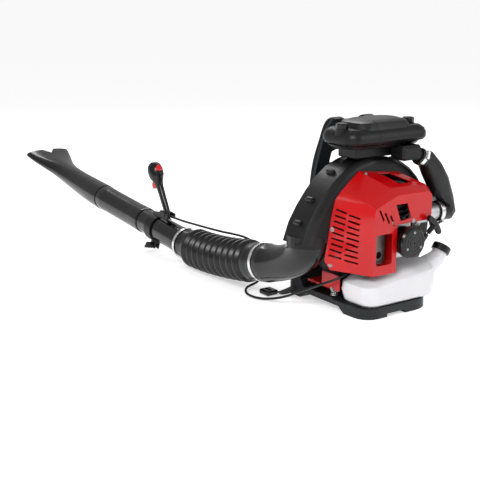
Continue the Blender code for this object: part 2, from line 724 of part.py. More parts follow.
def engine_cover():
    """Red shroud over the cylinder and muffler: a shell with vents, windows and a plug recess."""
    wall = 0.0025
    cover = add("engine_cover", cover_solid(0.0), LOOKS["cover_red"])
    cut(cover, cover_solid(wall, 0.02))
    cut(cover, block((-0.098, -0.20, 0.130), (-0.048, -0.155, 0.204), 0.004, 1))
    window = [Vector((-0.040, -0.20, 0.270)), Vector((-0.004, -0.20, 0.270)), Vector((0.010, -0.20, 0.234)),
              Vector((-0.024, -0.20, 0.229))]
    cut(cover, prism(window, Y_AXIS, 0.045))
    plug_window = [Vector((-0.002, -0.152, 0.25)), Vector((0.040, -0.152, 0.25)),
                   Vector((0.014, -0.100, 0.25)), Vector((-0.028, -0.100, 0.25))]
    cut(cover, prism(plug_window, Z_AXIS, 0.12))
    cut(cover, block((0.060, CARB_Y - 0.026, 0.200), (0.100, CARB_Y + 0.0235, 0.2450)))
    cut(cover, block((-0.042, -0.104, 0.100), (-0.028, -0.088, 0.123)))
    for k in range(3):
        lean = Matrix.Translation(Vector((-0.084 + 0.017 * k, 0.0, 0.250 - 0.008 * k))) @ Matrix.Rotation(
            radians(-28.0), 4, "Y")
        slot = block((-0.0026, -0.20, -0.015), (0.0026, -0.160, 0.015))
        bmesh.ops.transform(slot, matrix=lean, verts=slot.verts)
        cut(cover, slot)
    for column, y in enumerate((-0.1110, -0.1405)):
        for k in range(9):
            cut(cover, vent_cutter(y, 0.146 - 0.010 * column + 0.0133 * k))
    return cover


def starter_housing():
    """Round recoil housing: a cup open towards the engine, with the rope's guide at its rim."""
    face = STARTER_FACE_Y
    profile = [(0.0300, face), (STARTER_R - 0.003, face + 0.0015), (STARTER_R, face + 0.006),
               (STARTER_R, -0.1900), (0.0340, -0.1860), (0.0340, -0.1655), (0.0310, -0.1655),
               (0.0310, -0.1870), (0.0355, -0.1910), (0.0355, face + 0.0025), (0.0020, face + 0.0025),
               (0.0020, face)]
    housing = add("starter_housing", turned_ring(profile, crank_point(0.0), Y_AXIS, 24), LOOKS["gloss_black"])
    guide = swept([rope_point(0.030), rope_point(0.046)], [0.0068, 0.0055], 12, Y_AXIS)
    join(housing, guide)
    cut(housing, swept([rope_point(0.020), rope_point(0.060)], [0.0028, 0.0028], 10, Y_AXIS))
    return housing


def rope_point(distance, y=-0.196):
    """Point on the starter rope, measured from where it leaves the reel."""
    direction = Vector((cos(PULL_ANGLE), 0.0, sin(PULL_ANGLE)))
    square = Vector((sin(PULL_ANGLE), 0.0, -cos(PULL_ANGLE)))
    return Vector((0.0, y, CRANK_Z)) + square * REEL_R + direction * distance


def starter_reel():
    profile = [(0.0065, -0.2030), (0.0290, -0.2030), (0.0290, -0.2005), (0.0220, -0.1990), (0.0220, -0.1935),
               (0.0290, -0.1920), (0.0290, -0.1885), (0.0065, -0.1885)]
    return add("starter_reel", turned_ring(profile, crank_point(0.0), Y_AXIS, 24), LOOKS["housing_black"],
               crank_point(0.0))


def starter_pull():
    """Rope end and T-shaped grip, at rest against the housing's guide."""
    direction = Vector((cos(PULL_ANGLE), 0.0, sin(PULL_ANGLE)))
    rope = add("starter_rope", swept([rope_point(0.034), rope_point(0.052)], [0.0017, 0.0017], 8, Y_AXIS),
               LOOKS["fabric_black"])
    stem_route = [rope_point(0.0523), rope_point(0.062), rope_point(0.076)]
    stem = swept(stem_route, [0.0060, 0.0066, 0.0075], 12, Y_AXIS)
    handle = add("pull_handle", stem, LOOKS["gloss_black"], rope_point(0.0523))
    square = Vector((sin(PULL_ANGLE), 0.0, -cos(PULL_ANGLE)))
    centre = rope_point(0.080)
    bar = [centre + square * share * 0.029 + direction * (0.004 * share * share * -1) for share in
           (-1.0, -0.85, -0.4, 0.0, 0.4, 0.85, 1.0)]
    join(handle, swept(bar, [0.0055, 0.0075, 0.0082, 0.0085, 0.0082, 0.0075, 0.0055], 12, Y_AXIS))
    return rope, handle


# ---- fuel tank ----------------------------------------------------------------------------------
CAP_AXIS = Vector((sin(CAP_TILT), 0.0, cos(CAP_TILT)))


def tank_form(shrink):
    """Rounded moulding that is a little wider at mid height."""
    levels = ((0.0263, 0.014), (0.0330, 0.006), (0.062, 0.0), (0.086, 0.003), (0.0985, 0.014),
              (0.1030, 0.024), (TANK_TOP, 0.040))
    rings = []
    for k, (z, inset) in enumerate(levels):
        reach = inset + shrink
        outline = rounded_outline(0.1165 - reach, 0.0595 - reach, 0.034 - inset * 0.6 - shrink, 4)
        height = z + (shrink if k == 0 else -shrink if k == len(levels) - 1 else 0.0)
        share = max(0.0, height - 0.035) / (TANK_TOP - 0.035)
        slope = share * TANK_SLOPE
        rings.append([Vector((x - 0.004, y - 0.1285, height + slope * (x + 0.010))) for x, y in outline])
    return skin(rings)


def filler_neck(shrink):
    """Neck that swells out of the tank's right shoulder and turns up to the cap."""
    route = [Vector((0.086, -0.134, 0.074)), Vector((0.118, -0.137, 0.090)), CAP_BASE - CAP_AXIS * 0.018,
             CAP_BASE - CAP_AXIS * 0.002, CAP_BASE + CAP_AXIS * (0.0120 + 4 * shrink)]
    radii = [radius - shrink for radius in (0.0270, 0.0262, 0.0215, 0.0184, 0.0184)]
    return swept(route, radii, 20, Y_AXIS)


def fuel_tank():
    wall = 0.0025
    tank = add("fuel_tank", tank_form(0.0), LOOKS["tank_white"])
    join(tank, filler_neck(0.0))
    cut(tank, scroll_solid(-0.0015))
    hollow = add("hollow", tank_form(wall), LOOKS["tank_white"])
    cut(hollow, scroll_solid(-0.0015 - wall))
    boolean(tank, hollow, "DIFFERENCE")
    cut(tank, filler_neck(wall))
    return tank


def fuel_cap():
    ribs = 20
    rings = []
    levels = ((0.000, CAP_R, 0.0007), (0.0150, CAP_R, 0.0007), (0.0175, CAP_R - 0.002, 0.0))
    for height, radius, notch in levels:
        first, second = axes_for(CAP_AXIS)
        ring = []
        for k in range(2 * ribs):
            angle = pi * k / ribs
            r = radius - (notch if k % 2 else 0.0)
            ring.append(CAP_BASE + height * CAP_AXIS + r * (cos(angle) * first + sin(angle) * second))
        rings.append(ring)
    cap = add("fuel_cap", skin(rings), LOOKS["rubber_black"], CAP_BASE)
    cut(cap, turned([(0.0188, -0.010), (0.0188, 0.0125)], CAP_BASE, CAP_AXIS, 20))
    return cap


def fuel_line():
    """Fuel hose from the tank's grommet up to the carburettor."""
    knots = [Vector((0.060, CARB_Y + 0.006, TANK_TOP + TANK_SLOPE * 0.070 + 0.0014)),
             Vector((0.061, CARB_Y + 0.006, 0.130)),
             Vector((0.070, CARB_Y + 0.005, 0.160)), Vector((0.079, CARB_Y + 0.004, 0.186)),
             Vector((0.080, CARB_Y + 0.004, 0.2017))]
    route = smooth_route(knots, 0.012)
    return add("fuel_line", swept(route, [0.0028] * len(route), 8, Y_AXIS), LOOKS["rubber_black"])


# ---- air cleaner --------------------------------------------------------------------------------
def cleaner_ring(z, half_x, half_y, radius, steps=4, middle_y=-0.060, middle_x=CLEANER_MID_X):
    outline = rounded_outline(half_x, half_y, radius, steps)
    return [Vector((x + middle_x, y + middle_y, z)) for x, y in outline]


def filter_base():
    base = add("filter_base", skin([cleaner_ring(0.3900, 0.080, 0.038, 0.015, 2),
                                    cleaner_ring(0.3935, 0.110, 0.050, 0.030, 2),
                                    cleaner_ring(CLEANER_BASE_Z, 0.116, 0.0555, 0.035, 2)]),
               LOOKS["housing_black"])
    pedestal_low = CRANK_Z + scroll_radius(0.75) + GAP
    join(base, block((-0.084, -0.088, pedestal_low), (0.076, -0.022, 0.3950), 0.003, 1))
    join(base, block((0.018, -0.143, 0.3600), (0.078, -0.0925, 0.3960), 0.006, 1))
    stub = [Vector((0.062, CARB_Y, 0.3790)), Vector((0.1045, CARB_Y, 0.3570))]
    join(base, swept(stub, [0.0162, 0.0162], 18, Y_AXIS))
    duct = [Vector((0.050, CARB_Y, 0.3852)), Vector((0.110, CARB_Y, 0.3542))]
    cut(base, swept(duct, [0.0135, 0.0135], 14, Y_AXIS))
    cut(base, block((0.024, -0.137, 0.3660), (0.060, -0.098, 0.4100), 0.004, 1))
    for sign in (-1, 1):
        hole = Vector((CLEANER_MID_X + sign * CLEANER_KNOB_X, CLEANER_KNOB_Y, 0.0))
        cut(base, turned([(0.0040, 0.380), (0.0040, 0.410)], hole, Z_AXIS, 10))
    return base


def filter_element():
    """Pleated element standing on the base."""
    pleats = 22
    outline = []
    for sign in (1, -1):
        for k in range(pleats + 1):
            share = -1.0 + 2.0 * k / pleats
            depth = 0.037 + (0.005 if k % 2 else 0.0)
            outline.append(Vector((CLEANER_MID_X - sign * share * 0.080, -0.060 - sign * depth,
                                   CLEANER_BASE_Z + GAP)))
    return add("filter_element", prism(outline, Z_AXIS, 0.033), LOOKS["paper_element"])


def cleaner_cover_form(shrink, floor_z):
    levels = ((0.0, 0.007), (0.24, 0.0), (0.55, 0.0), (0.82, 0.005), (1.0, 0.015))
    rings = []
    for share, inset in levels:
        z = CLEANER_BASE_Z + GAP + share * (CLEANER_END_Z - CLEANER_BASE_Z - GAP)
        if share == 0.0:
            z = floor_z
        if share == 1.0:
            z -= shrink
        reach = inset + shrink
        rings.append(cleaner_ring(z, 0.125 - reach, 0.0645 - reach, 0.032 - reach * 0.8, 4, -0.060, 0.0))
    return skin(rings)


def cleaner_hood_form(shrink):
    """Raised middle of the cover, between the two knobs."""
    levels = ((0.4200, 0.088, 0.058), (CLEANER_END_Z, 0.084, 0.054), (0.4520, 0.078, 0.048),
              (CLEANER_TOP_Z, 0.062, 0.034))
    rings = []
    for k, (z, half_x, half_y) in enumerate(levels):
        height = z - (shrink if k == len(levels) - 1 else 0.0)
        rings.append(cleaner_ring(height, half_x - shrink, half_y - shrink, 0.030, 3))
    return skin(rings)


def filter_cover():
    wall = 0.0026
    cover = add("filter_cover", cleaner_cover_form(0.0, CLEANER_BASE_Z + GAP), LOOKS["housing_black"])
    join(cover, cleaner_hood_form(0.0))
    for sign in (-1, 1):
        post = Vector((CLEANER_MID_X + sign * CLEANER_KNOB_X, CLEANER_KNOB_Y, 0.0))
        join(cover, turned([(0.0155, 0.425), (0.0150, CLEANER_END_Z + 0.0012)], post, Z_AXIS, 16))
    cut(cover, cleaner_cover_form(wall, CLEANER_BASE_Z - 0.010))
    cut(cover, cleaner_hood_form(wall))
    for sign in (-1, 1):
        post = Vector((CLEANER_MID_X + sign * CLEANER_KNOB_X, CLEANER_KNOB_Y, 0.0))
        cut(cover, turned([(0.0040, 0.395), (0.0040, 0.460)], post, Z_AXIS, 10))
    return cover


def filter_knob(name, sign):
    base_z = CLEANER_END_Z + 0.0012 + GAP
    origin = Vector((CLEANER_MID_X + sign * CLEANER_KNOB_X, CLEANER_KNOB_Y, base_z))
    lobes = 8
    rings = []
    for height, radius in ((0.0, 0.0145), (0.0100, 0.0150), (0.0125, 0.0125)):
        ring = []
        for k in range(2 * lobes):
            angle = pi * k / lobes
            r = radius - (0.0014 if k % 2 else 0.0)
            ring.append(origin + Vector((r * cos(angle), r * sin(angle), height)))
        rings.append(ring)
    knob = add(name, skin(rings), LOOKS["rubber_black"], origin)
    join(knob, turned([(0.0030, -0.050), (0.0030, 0.002)], origin, Z_AXIS, 10))
    return knob


def intake_elbow():
    """Rubber boot from the air cleaner's stub, out and down, then back to the carburettor."""
    start = Vector((0.0865, CARB_Y, 0.3663))
    down = Vector((0.888, 0.0, -0.460))
    centres = [start, start + down * 0.016]
    radii = [0.0198, 0.0200]
    directions = [down, down]
    bend = ((0.1144, 0.3543, 0.0240, -38.0), (0.1356, 0.3280, 0.0282, -54.0),
            (0.1551, 0.2993, 0.0296, -68.0), (0.1735, 0.2607, 0.0299, -92.0),
            (0.1850, 0.2310, 0.0330, -127.0), (0.1840, 0.2195, 0.0290, -152.0),
            (0.1650, CARB_Z, 0.0250, -180.0), (0.1520, CARB_Z, 0.0248, -180.0))
    for x, z, radius, angle in bend:
        centres.append(Vector((x, CARB_Y, z)))
        radii.append(radius)
        directions.append(Vector((cos(radians(angle)), 0.0, sin(radians(angle)))))
    wall = 0.0028
    outer = [circle(c, r, d, 16, Y_AXIS) for c, r, d in zip(centres, radii, directions)]
    inner_radii = [r - wall for r in radii]
    inner_radii[0] = inner_radii[1] = 0.0168
    inner_radii[-1] = inner_radii[-2] = 0.0218
    inner = [circle(c, r, d, 16, Y_AXIS) for c, r, d in zip(centres, inner_radii, directions)]
    return add("intake_elbow", skin(outer + inner[::-1], wrap=True), LOOKS["rubber_black"])


def band(name, centre, direction, inner, outer, width, sides=28, screw=None):
    """Worm-drive hose clamp: a flat ring with its screw housing."""
    half = width / 2
    profile = [(inner, -half), (outer, -half), (outer, half), (inner, half)]
    made = add(name, turned_ring(profile, centre, direction, sides, Z_AXIS), LOOKS["clamp_steel"])
    if screw is not None:
        first, second = axes_for(direction, screw)
        seat = centre + first * (outer + 0.0032)
        join(made, swept([seat - second * 0.010, seat + second * 0.010], [0.0038, 0.0038], 8, direction))
    return made


def intake_clamps():
    down = Vector((0.888, 0.0, -0.460))
    upper = Vector((0.0865, CARB_Y, 0.3663)) + down * 0.010
    band("intake_clamp_upper", upper, down, 0.0203, 0.0215, 0.010, 24, Vector((0.0, -1.0, 0.3)))
    band("intake_clamp_lower", Vector((0.1600, CARB_Y, CARB_Z)), SIDE, 0.02545, 0.0268, 0.012, 24,
         Vector((0.0, -0.6, -1.0)))


# ---- blowpipe -----------------------------------------------------------------------------------
def elbow_route():
    start = Vector((TUBE_X, VOLUTE_MID_Y, MOUTH_Z - GAP))
    below = start - Z_AXIS * 0.003
    first, second = Vector((TUBE_X, -0.028, 0.130)), Vector((TUBE_X, 0.040, 0.1010))
    return [start] + bezier(below, first, second, ELBOW_END, 8)


def outlet_elbow():
    route = elbow_route()
    radii = [0.0445 + 0.005 * abs(1.0 - 2.0 * k / 9) ** 3 for k in range(10)]
    return add("outlet_elbow", swept(route, radii, 22, SIDE, wall=0.0028), LOOKS["gloss_black"])


def bellows_point(y):
    """Centre line of the flexible pipe: it leaves the elbow dipping and ends on the pipe's rise."""
    start = ELBOW_END + Vector((0.0, GAP, 0.0))
    end = PIPE_START + ALONG * 0.040
    share = (y - start.y) / (end.y - start.y)
    entry = -0.17
    leave = sin(PIPE_RISE) / cos(PIPE_RISE)
    span = end.y - start.y
    s2, s3 = share * share, share**3
    z = ((2 * s3 - 3 * s2 + 1) * start.z + (s3 - 2 * s2 + share) * span * entry
         + (3 * s2 - 2 * s3) * end.z + (s3 - s2) * span * leave)
    return Vector((TUBE_X, y, z))


def flexible_pipe():
    """Bellows with a plain cuff at each end, each rib a peak between two valleys."""
    first = ELBOW_END.y + 0.0024
    last = (PIPE_START + ALONG * 0.040).y
    ribs_from = 0.176
    ribs_to = 0.454
    pitch = (ribs_to - ribs_from) / RIBS
    stations = [(first, 0.0480), (first + 0.004, 0.0480), (0.148, 0.0480), (0.163, 0.0495)]
    for k in range(RIBS):
        start = ribs_from + k * pitch
        valley = 0.0455 - 0.0015 * k / RIBS
        peak = RIB_R - 0.0010 * k / RIBS
        stations += [(start, valley), (start + 0.50 * pitch, peak)]
    stations += [(ribs_to, 0.0440), (0.470, 0.0435), (last, 0.0412)]
    points = [bellows_point(y) for y, _ in stations]
    radii = [radius for _, radius in stations]
    pipe = add("flexible_pipe", swept(points, radii, 22), LOOKS["rubber_black"],
               Vector((TUBE_X, 0.230, bellows_point(0.230).z)))
    bore = [bellows_point(y) for y in (first - 0.01, 0.16, 0.22, 0.28, 0.34, 0.40, 0.46, last + 0.01)]
    cut(pipe, swept(bore, [0.0445, 0.0435, 0.0435, 0.0425, 0.0415, 0.0405, 0.0388, 0.0382], 22))
    return pipe


def pipe_point(distance):
    return PIPE_START + ALONG * distance


def pipe_shell(name, stations, look):
    points = [pipe_point(distance) for distance, _ in stations]
    radii = [radius for _, radius in stations]
    return add(name, swept(points, radii, 22, SIDE, wall=PIPE_WALL), look)


def swivel_pipe():
    end = SWIVEL_LENGTH
    stations = [(0.0403, 0.0380), (0.052, 0.0380), (0.080, PIPE_R), (end - 0.040, PIPE_R),
                (end - 0.030, PIPE_R - 0.0010), (end - 0.010, PIPE_R - 0.0010), (end, PIPE_R - 0.0012)]
    return pipe_shell("swivel_pipe", stations, LOOKS["gloss_black"])


def straight_pipe():
    start = SWIVEL_LENGTH + GAP
    end = start + STRAIGHT_LENGTH
    plain, bell = PIPE_R + 0.0008, PIPE_R + 0.0014
    stations = [(start, PIPE_R + 0.0002), (start + 0.006, bell), (start + 0.046, bell),
                (start + 0.070, plain), (end - 0.045, plain), (end - 0.036, bell), (end, bell)]
    return pipe_shell("straight_pipe", stations, LOOKS["gloss_black"])


def nozzle_ring(centre, tangent, half_width, half_height, sides=22):
    """Flattened round section: an ellipse that grows square-sided as it widens."""
    first, second = axes_for(tangent, SIDE)
    points = []
    for k in range(sides):
        angle = tau * k / sides
        c, s = cos(angle), sin(angle)
        points.append(centre + first * half_width * c + second * half_height * s)
    return points


def nozzle_stations():
    """Centre, half width and half height along the nozzle, which bends up and ends in a fishtail."""
    start = pipe_point(SWIVEL_LENGTH + STRAIGHT_LENGTH + 2 * GAP)
    tip = start + Vector((0.0, 0.433, 0.0880))
    route = bezier(start, start + ALONG * 0.15, start + Vector((0.0, 0.300, 0.038)), tip, 10)
    half_widths = (0.0400, 0.0398, 0.0388, 0.0378, 0.0372, 0.0375, 0.0395, 0.0450, 0.0560, 0.0680, 0.0770)
    half_heights = (0.0400, 0.0398, 0.0388, 0.0372, 0.0350, 0.0325, 0.0295, 0.0260, 0.0220, 0.0180, 0.0150)
    return route, half_widths, half_heights


def nozzle():
    route, half_widths, half_heights = nozzle_stations()
    wall = 0.0022
    outer, inner = [], []
    for k, centre in enumerate(route):
        tangent = (route[min(k + 1, 10)] - route[max(k - 1, 0)]).normalized()
        outer.append(nozzle_ring(centre, tangent, half_widths[k], half_heights[k]))
        inner.append(nozzle_ring(centre, tangent, half_widths[k] - wall, half_heights[k] - wall))
    tube = add("nozzle", skin(outer + inner[::-1], wrap=True), LOOKS["gloss_black"], route[0])
    tip = route[-1]
    notch = [tip + Vector(offset) for offset in ((-0.020, 0.02, 0.0), (0.0, -0.032, 0.0), (0.020, 0.02, 0.0))]
    cut(tube, prism([p + Vector((0.0, 0.0, -0.05)) for p in notch], Z_AXIS, 0.10))
    return tube


def pipe_clamps():
    toward = (ELBOW_END - elbow_route()[-2]).normalized()
    band("elbow_clamp", bellows_point(0.126), toward, 0.0487, 0.0499, 0.010, 30, Vector((0.6, 0.0, -1.0)))
    band("pipe_clamp", pipe_point(0.024), ALONG, 0.0436, 0.0448, 0.009, 30, Vector((0.6, 0.0, -1.0)))


# ---- handle -------------------------------------------------------------------------------------
LUG_TURN = radians(12.0)
LUG_SIDE = SIDE * cos(LUG_TURN) - ABOVE * sin(LUG_TURN)
LUG_DOWN = -ABOVE * cos(LUG_TURN) - SIDE * sin(LUG_TURN)
KNOB_CENTRE = pipe_point(0.176) + LUG_DOWN * 0.0545


def handle_clamp():
    """Split collar round the swivel pipe, with the arm's fork above and the knob's lugs below."""
    low, high = 0.160, 0.192
    inner, outer = PIPE_R + GAP, PIPE_R + 0.0048
    ring = [(inner, low), (outer, low), (outer, high), (inner, high)]
    clamp = add("handle_clamp", turned_ring(ring, PIPE_START, ALONG, 28), LOOKS["housing_black"])
    for sign in (-1, 1):
        near = sign * 0.0115
        side = [
            pipe_point(0.108) + ABOVE * 0.0455, pipe_point(0.172) + ABOVE * 0.0390,
            pipe_point(0.190) + ABOVE * 0.0400, pipe_point(0.188) + ABOVE * 0.0490,
            pipe_point(0.134) + ABOVE * 0.0610, pipe_point(0.108) + ABOVE * 0.0610,
        ]
        plate = [p + SIDE * (near - 0.0025) for p in side]
        join(clamp, prism(plate, SIDE, 0.005))
    for sign in (-1, 1):
        near = sign * 0.0065
        lug = [pipe_point(0.164) + LUG_DOWN * 0.0392, pipe_point(0.188) + LUG_DOWN * 0.0392,
               pipe_point(0.188) + LUG_DOWN * 0.0615, pipe_point(0.164) + LUG_DOWN * 0.0615]
        plate = [p + LUG_SIDE * (near - 0.0020) for p in lug]
        join(clamp, prism(plate, LUG_SIDE, 0.004))
        cut(clamp, turned([(0.0031, near - 0.006), (0.0031, near + 0.006)], KNOB_CENTRE, LUG_SIDE, 12, ALONG))
    pivot_hole = turned([(0.0034, -0.02), (0.0034, 0.02)], HANDLE_PIVOT, SIDE, 12, Z_AXIS)
    cut(clamp, pivot_hole)
    return clamp


def clamp_knob():
    """Wing knob on the collar's clamp screw."""
    left = -LUG_SIDE
    boss = turned([(0.0090, 0.0090), (0.0090, 0.0270), (0.0070, 0.0290)], KNOB_CENTRE, left, 14, ALONG)
    knob = add("clamp_knob", boss, LOOKS["housing_black"], KNOB_CENTRE)
    join(knob, turned([(0.0028, -0.012), (0.0028, 0.010)], KNOB_CENTRE, left, 10, ALONG))
    for sign in (-1, 1):
        root = KNOB_CENTRE + left * 0.0240 + (ALONG * 0.80 + LUG_DOWN * 0.60) * (sign * 0.005)
        tip = KNOB_CENTRE + left * 0.0240 + (ALONG * 0.80 + LUG_DOWN * 0.60) * (sign * 0.0145)
        join(knob, swept([root, root.lerp(tip, 0.5), tip], [0.0045, 0.0050, 0.0040], 8, SIDE))
    return knob


def handle_axis():
    return (HANDLE_HEAD - HANDLE_PIVOT).normalized()


def handle_arm():
    """Stalk and rounded head of the throttle handle."""
    up = handle_axis()
    front = SIDE.cross(up) * -1.0
    reach = (HANDLE_HEAD - HANDLE_PIVOT).length
    rings = []
    stations = ((-0.008, 0.0070, 0.0075), (0.004, 0.0085, 0.0095), (0.020, 0.0085, 0.0115),
                (0.060, 0.0095, 0.0110), (0.088, 0.0105, 0.0115), (0.100, 0.0125, 0.0135),
                (0.114, 0.0180, 0.0190), (reach - 0.012, 0.0215, 0.0235), (reach + 0.006, 0.0225, 0.0245),
                (reach + 0.020, 0.0190, 0.0205), (reach + 0.028, 0.0120, 0.0130),
                (reach + 0.031, 0.0050, 0.0055))
    for distance, half_x, half_y in stations:
        centre = HANDLE_PIVOT + up * distance
        ring = []
        for k in range(16):
            angle = tau * k / 16
            ring.append(centre + SIDE * half_x * cos(angle) + front * half_y * sin(angle))
        rings.append(ring)
    arm = add("handle_arm", skin(rings), LOOKS["gloss_black"], HANDLE_PIVOT)
    pin = turned([(0.0031, -0.0165), (0.0031, 0.0165)], HANDLE_PIVOT, SIDE, 12, Z_AXIS)
    join(arm, pin)
    slot_low = HANDLE_PIVOT + up * 0.089 + front * 0.004
    slot = [slot_low, slot_low + up * 0.030, slot_low + up * 0.030 + front * 0.04, slot_low + front * 0.04]
    cut(arm, prism([p - SIDE * 0.0060 for p in slot], SIDE, 0.0120))
    pocket = HANDLE_PIVOT + up * (reach + 0.004)
    cut(arm, turned([(0.0098, 0.0180), (0.0098, 0.0400)], pocket, front * -1.0, 14, SIDE))
    return arm


def handle_controls():
    """Red trigger in the front of the stalk and red button on the back of the head."""
    up = handle_axis()
    front = SIDE.cross(up) * -1.0
    pivot = HANDLE_PIVOT + up * 0.1125 + front * 0.0110
    shape = [(-0.0010, -0.0035), (0.0035, 0.0005), (0.0030, 0.0120), (-0.0040, 0.0205), (-0.0150, 0.0225),
             (-0.0195, 0.0190), (-0.0170, 0.0080), (-0.0080, 0.0000)]
    outline = [pivot + up * rise + front * out - SIDE * 0.0052 for rise, out in shape]
    add("throttle_trigger", prism(outline, SIDE, 0.0104), LOOKS["button_red"], pivot)
    reach = (HANDLE_HEAD - HANDLE_PIVOT).length
    centre = HANDLE_PIVOT + up * (reach + 0.004)
    profile = [(0.0094, 0.0212), (0.0094, 0.0258), (0.0080, 0.0280), (0.0040, 0.0290)]
    add("stop_button", turned(profile, centre, front * -1.0, 16, SIDE), LOOKS["button_red"],
        centre - front * 0.0212)


# ---- throttle cable -----------------------------------------------------------------------------
CABLE_R = 0.0032
JOINT_GAP = 0.0014  # keeps the cut ends of two lengths of cable apart
CABLE_ENGINE = [
    Vector((0.0760, -0.0965, 0.1950)), Vector((0.0740, -0.0965, 0.1600)),
    Vector((0.0560, -0.0965, 0.1250)), Vector((0.0000, -0.0965, 0.1150)),
    Vector((-0.0600, -0.0965, 0.1130)), Vector((-0.1000, -0.0970, 0.1040)),
    Vector((-0.1300, -0.0950, 0.0890)), Vector((-0.1580, -0.0640, 0.0700)),
    Vector((-0.1780, -0.0100, 0.0430)), Vector((-0.1940, 0.0350, 0.0200)),
    Vector((-0.2120, 0.0750, 0.0075)), Vector((-0.2270, 0.1100, 0.0042)),
    Vector((-0.2280, 0.1500, 0.0060)), Vector((-0.2050, 0.1800, 0.0100)),
    Vector((-0.1600, 0.1920, 0.0180)), Vector((-0.1300, 0.2100, 0.0420)),
    Vector((-0.1250, 0.2240, 0.0700)),
]
CABLE_BELLOWS = [
    Vector((-0.1250, 0.2240, 0.0700)), Vector((-0.1280, 0.2450, 0.0980)), Vector((-0.1400, 0.2800, 0.1130)),
    Vector((-0.1500, 0.3300, 0.1150)), Vector((-0.1550, 0.3600, 0.1140)),
]
CABLE_PIPE = [
    Vector((-0.1550, 0.3600, 0.1140)), Vector((-0.1650, 0.4100, 0.1150)), Vector((-0.1780, 0.4600, 0.1180)),
    Vector((-0.1880, 0.5100, 0.1200)), Vector((-0.1900, 0.5500, 0.1210)), Vector((-0.1900, 0.5800, 0.1220)),
]


def cable(name, knots):
    """Sheathed cable as a poly curve with a round bevel, a point every three diameters."""
    route = smooth_route(knots, 3 * 2 * CABLE_R)
    route[0] = route[0].lerp(route[1], JOINT_GAP / (route[1] - route[0]).length)
    curve = bpy.data.curves.new(name, "CURVE")
    curve.dimensions = "3D"
    curve.bevel_depth = CABLE_R
    curve.bevel_resolution = 2
    curve.use_fill_caps = True
    curve.resolution_u = 1
    spline = curve.splines.new("POLY")
    spline.points.add(len(route) - 1)
    for point, place in zip(spline.points, route):
        point.co = (*place, 1.0)
    curve.materials.append(LOOKS["rubber_black"])
    made = bpy.data.objects.new(name, curve)
    bpy.context.scene.collection.objects.link(made)
    return made


# ---- assembly -----------------------------------------------------------------------------------
def make_frame():
    base_frame()
    back_frame()
    list(frame_struts())
    back_pad()
    shoulder_straps()
    lower_strap()
    isolator_spring("isolator_spring_left", -0.113, -0.056)
    isolator_spring("isolator_spring_right", 0.088, 0.020)
    lower_bracket()


def make_blower():
    volute_halves()
    intake_guard()
    fan()
    flywheel()
    crankshaft()


def make_engine():
    crankcase()
    cylinder()
    piston()
    spark_plug()
    plug_cap()
    muffler()
    insulator()
    carburettor()
    carburettor_levers()
    primer_bulb()
    engine_cover()
    starter_housing()
    starter_reel()
    starter_pull()


def make_supplies():
    fuel_tank()
    fuel_cap()
    fuel_line()
    filter_base()
    filter_element()
    filter_cover()
    filter_knob("filter_knob_left", -1)
    filter_knob("filter_knob_right", 1)
    intake_elbow()
    intake_clamps()


def make_blowpipe():
    outlet_elbow()
    flexible_pipe()
    pipe_clamps()
    swivel_pipe()
    straight_pipe()
    nozzle()
    handle_clamp()
    clamp_knob()
    handle_arm()
    handle_controls()
    cable("throttle_cable", CABLE_ENGINE)
    cable("throttle_cable_bellows", CABLE_BELLOWS)
    cable("throttle_cable_pipe", CABLE_PIPE)


def parent_to(name, place, members):
    """Groups the pieces of one moving body under an empty on its joint's axis."""
    empty = bpy.data.objects.new(name, None)
    empty.location = place
    bpy.context.scene.collection.objects.link(empty)
    bpy.context.view_layer.update()
    for member in members:
        child = bpy.data.objects[member]
        child.parent = empty
        child.matrix_parent_inverse = empty.matrix_world.inverted()


def main():
    make_frame()
    make_blower()
    make_engine()
    make_supplies()
    make_blowpipe()
    parent_to("rotor_axis", crank_point(0.0), ("crankshaft", "flywheel", "fan_impeller"))
    parent_to("handle_axis", HANDLE_PIVOT, ("handle_arm", "throttle_trigger", "stop_button"))


clear_scene()
main()
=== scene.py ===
"""Looks of the backpack leaf blower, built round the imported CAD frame.

Lengths are metres in the CAD's frame: +Z up, +Y forward along the blowpipe, +X to the wearer's right.
"""

import json
from math import cos, pi, radians, sin, tau

import bmesh
import bpy
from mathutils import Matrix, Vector
from mathutils.bvhtree import BVHTree


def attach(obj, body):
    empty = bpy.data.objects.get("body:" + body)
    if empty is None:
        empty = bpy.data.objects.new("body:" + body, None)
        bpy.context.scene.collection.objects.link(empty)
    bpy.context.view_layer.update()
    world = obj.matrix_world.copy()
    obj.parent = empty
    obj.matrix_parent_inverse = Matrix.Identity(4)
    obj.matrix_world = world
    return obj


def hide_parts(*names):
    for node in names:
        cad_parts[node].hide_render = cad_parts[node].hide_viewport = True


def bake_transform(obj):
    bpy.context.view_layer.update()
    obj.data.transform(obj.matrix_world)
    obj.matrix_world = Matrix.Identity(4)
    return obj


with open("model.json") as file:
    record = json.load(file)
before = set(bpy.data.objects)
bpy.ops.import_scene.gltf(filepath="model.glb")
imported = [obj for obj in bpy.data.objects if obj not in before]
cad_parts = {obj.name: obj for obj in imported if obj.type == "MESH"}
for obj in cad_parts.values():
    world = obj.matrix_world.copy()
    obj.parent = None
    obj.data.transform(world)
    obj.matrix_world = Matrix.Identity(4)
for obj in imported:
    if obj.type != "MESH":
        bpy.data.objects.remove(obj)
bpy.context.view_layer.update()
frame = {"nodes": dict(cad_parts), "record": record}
SCENE = bpy.context.scene

X_AXIS = Vector((1.0, 0.0, 0.0))
Y_AXIS = Vector((0.0, 1.0, 0.0))
Z_AXIS = Vector((0.0, 0.0, 1.0))

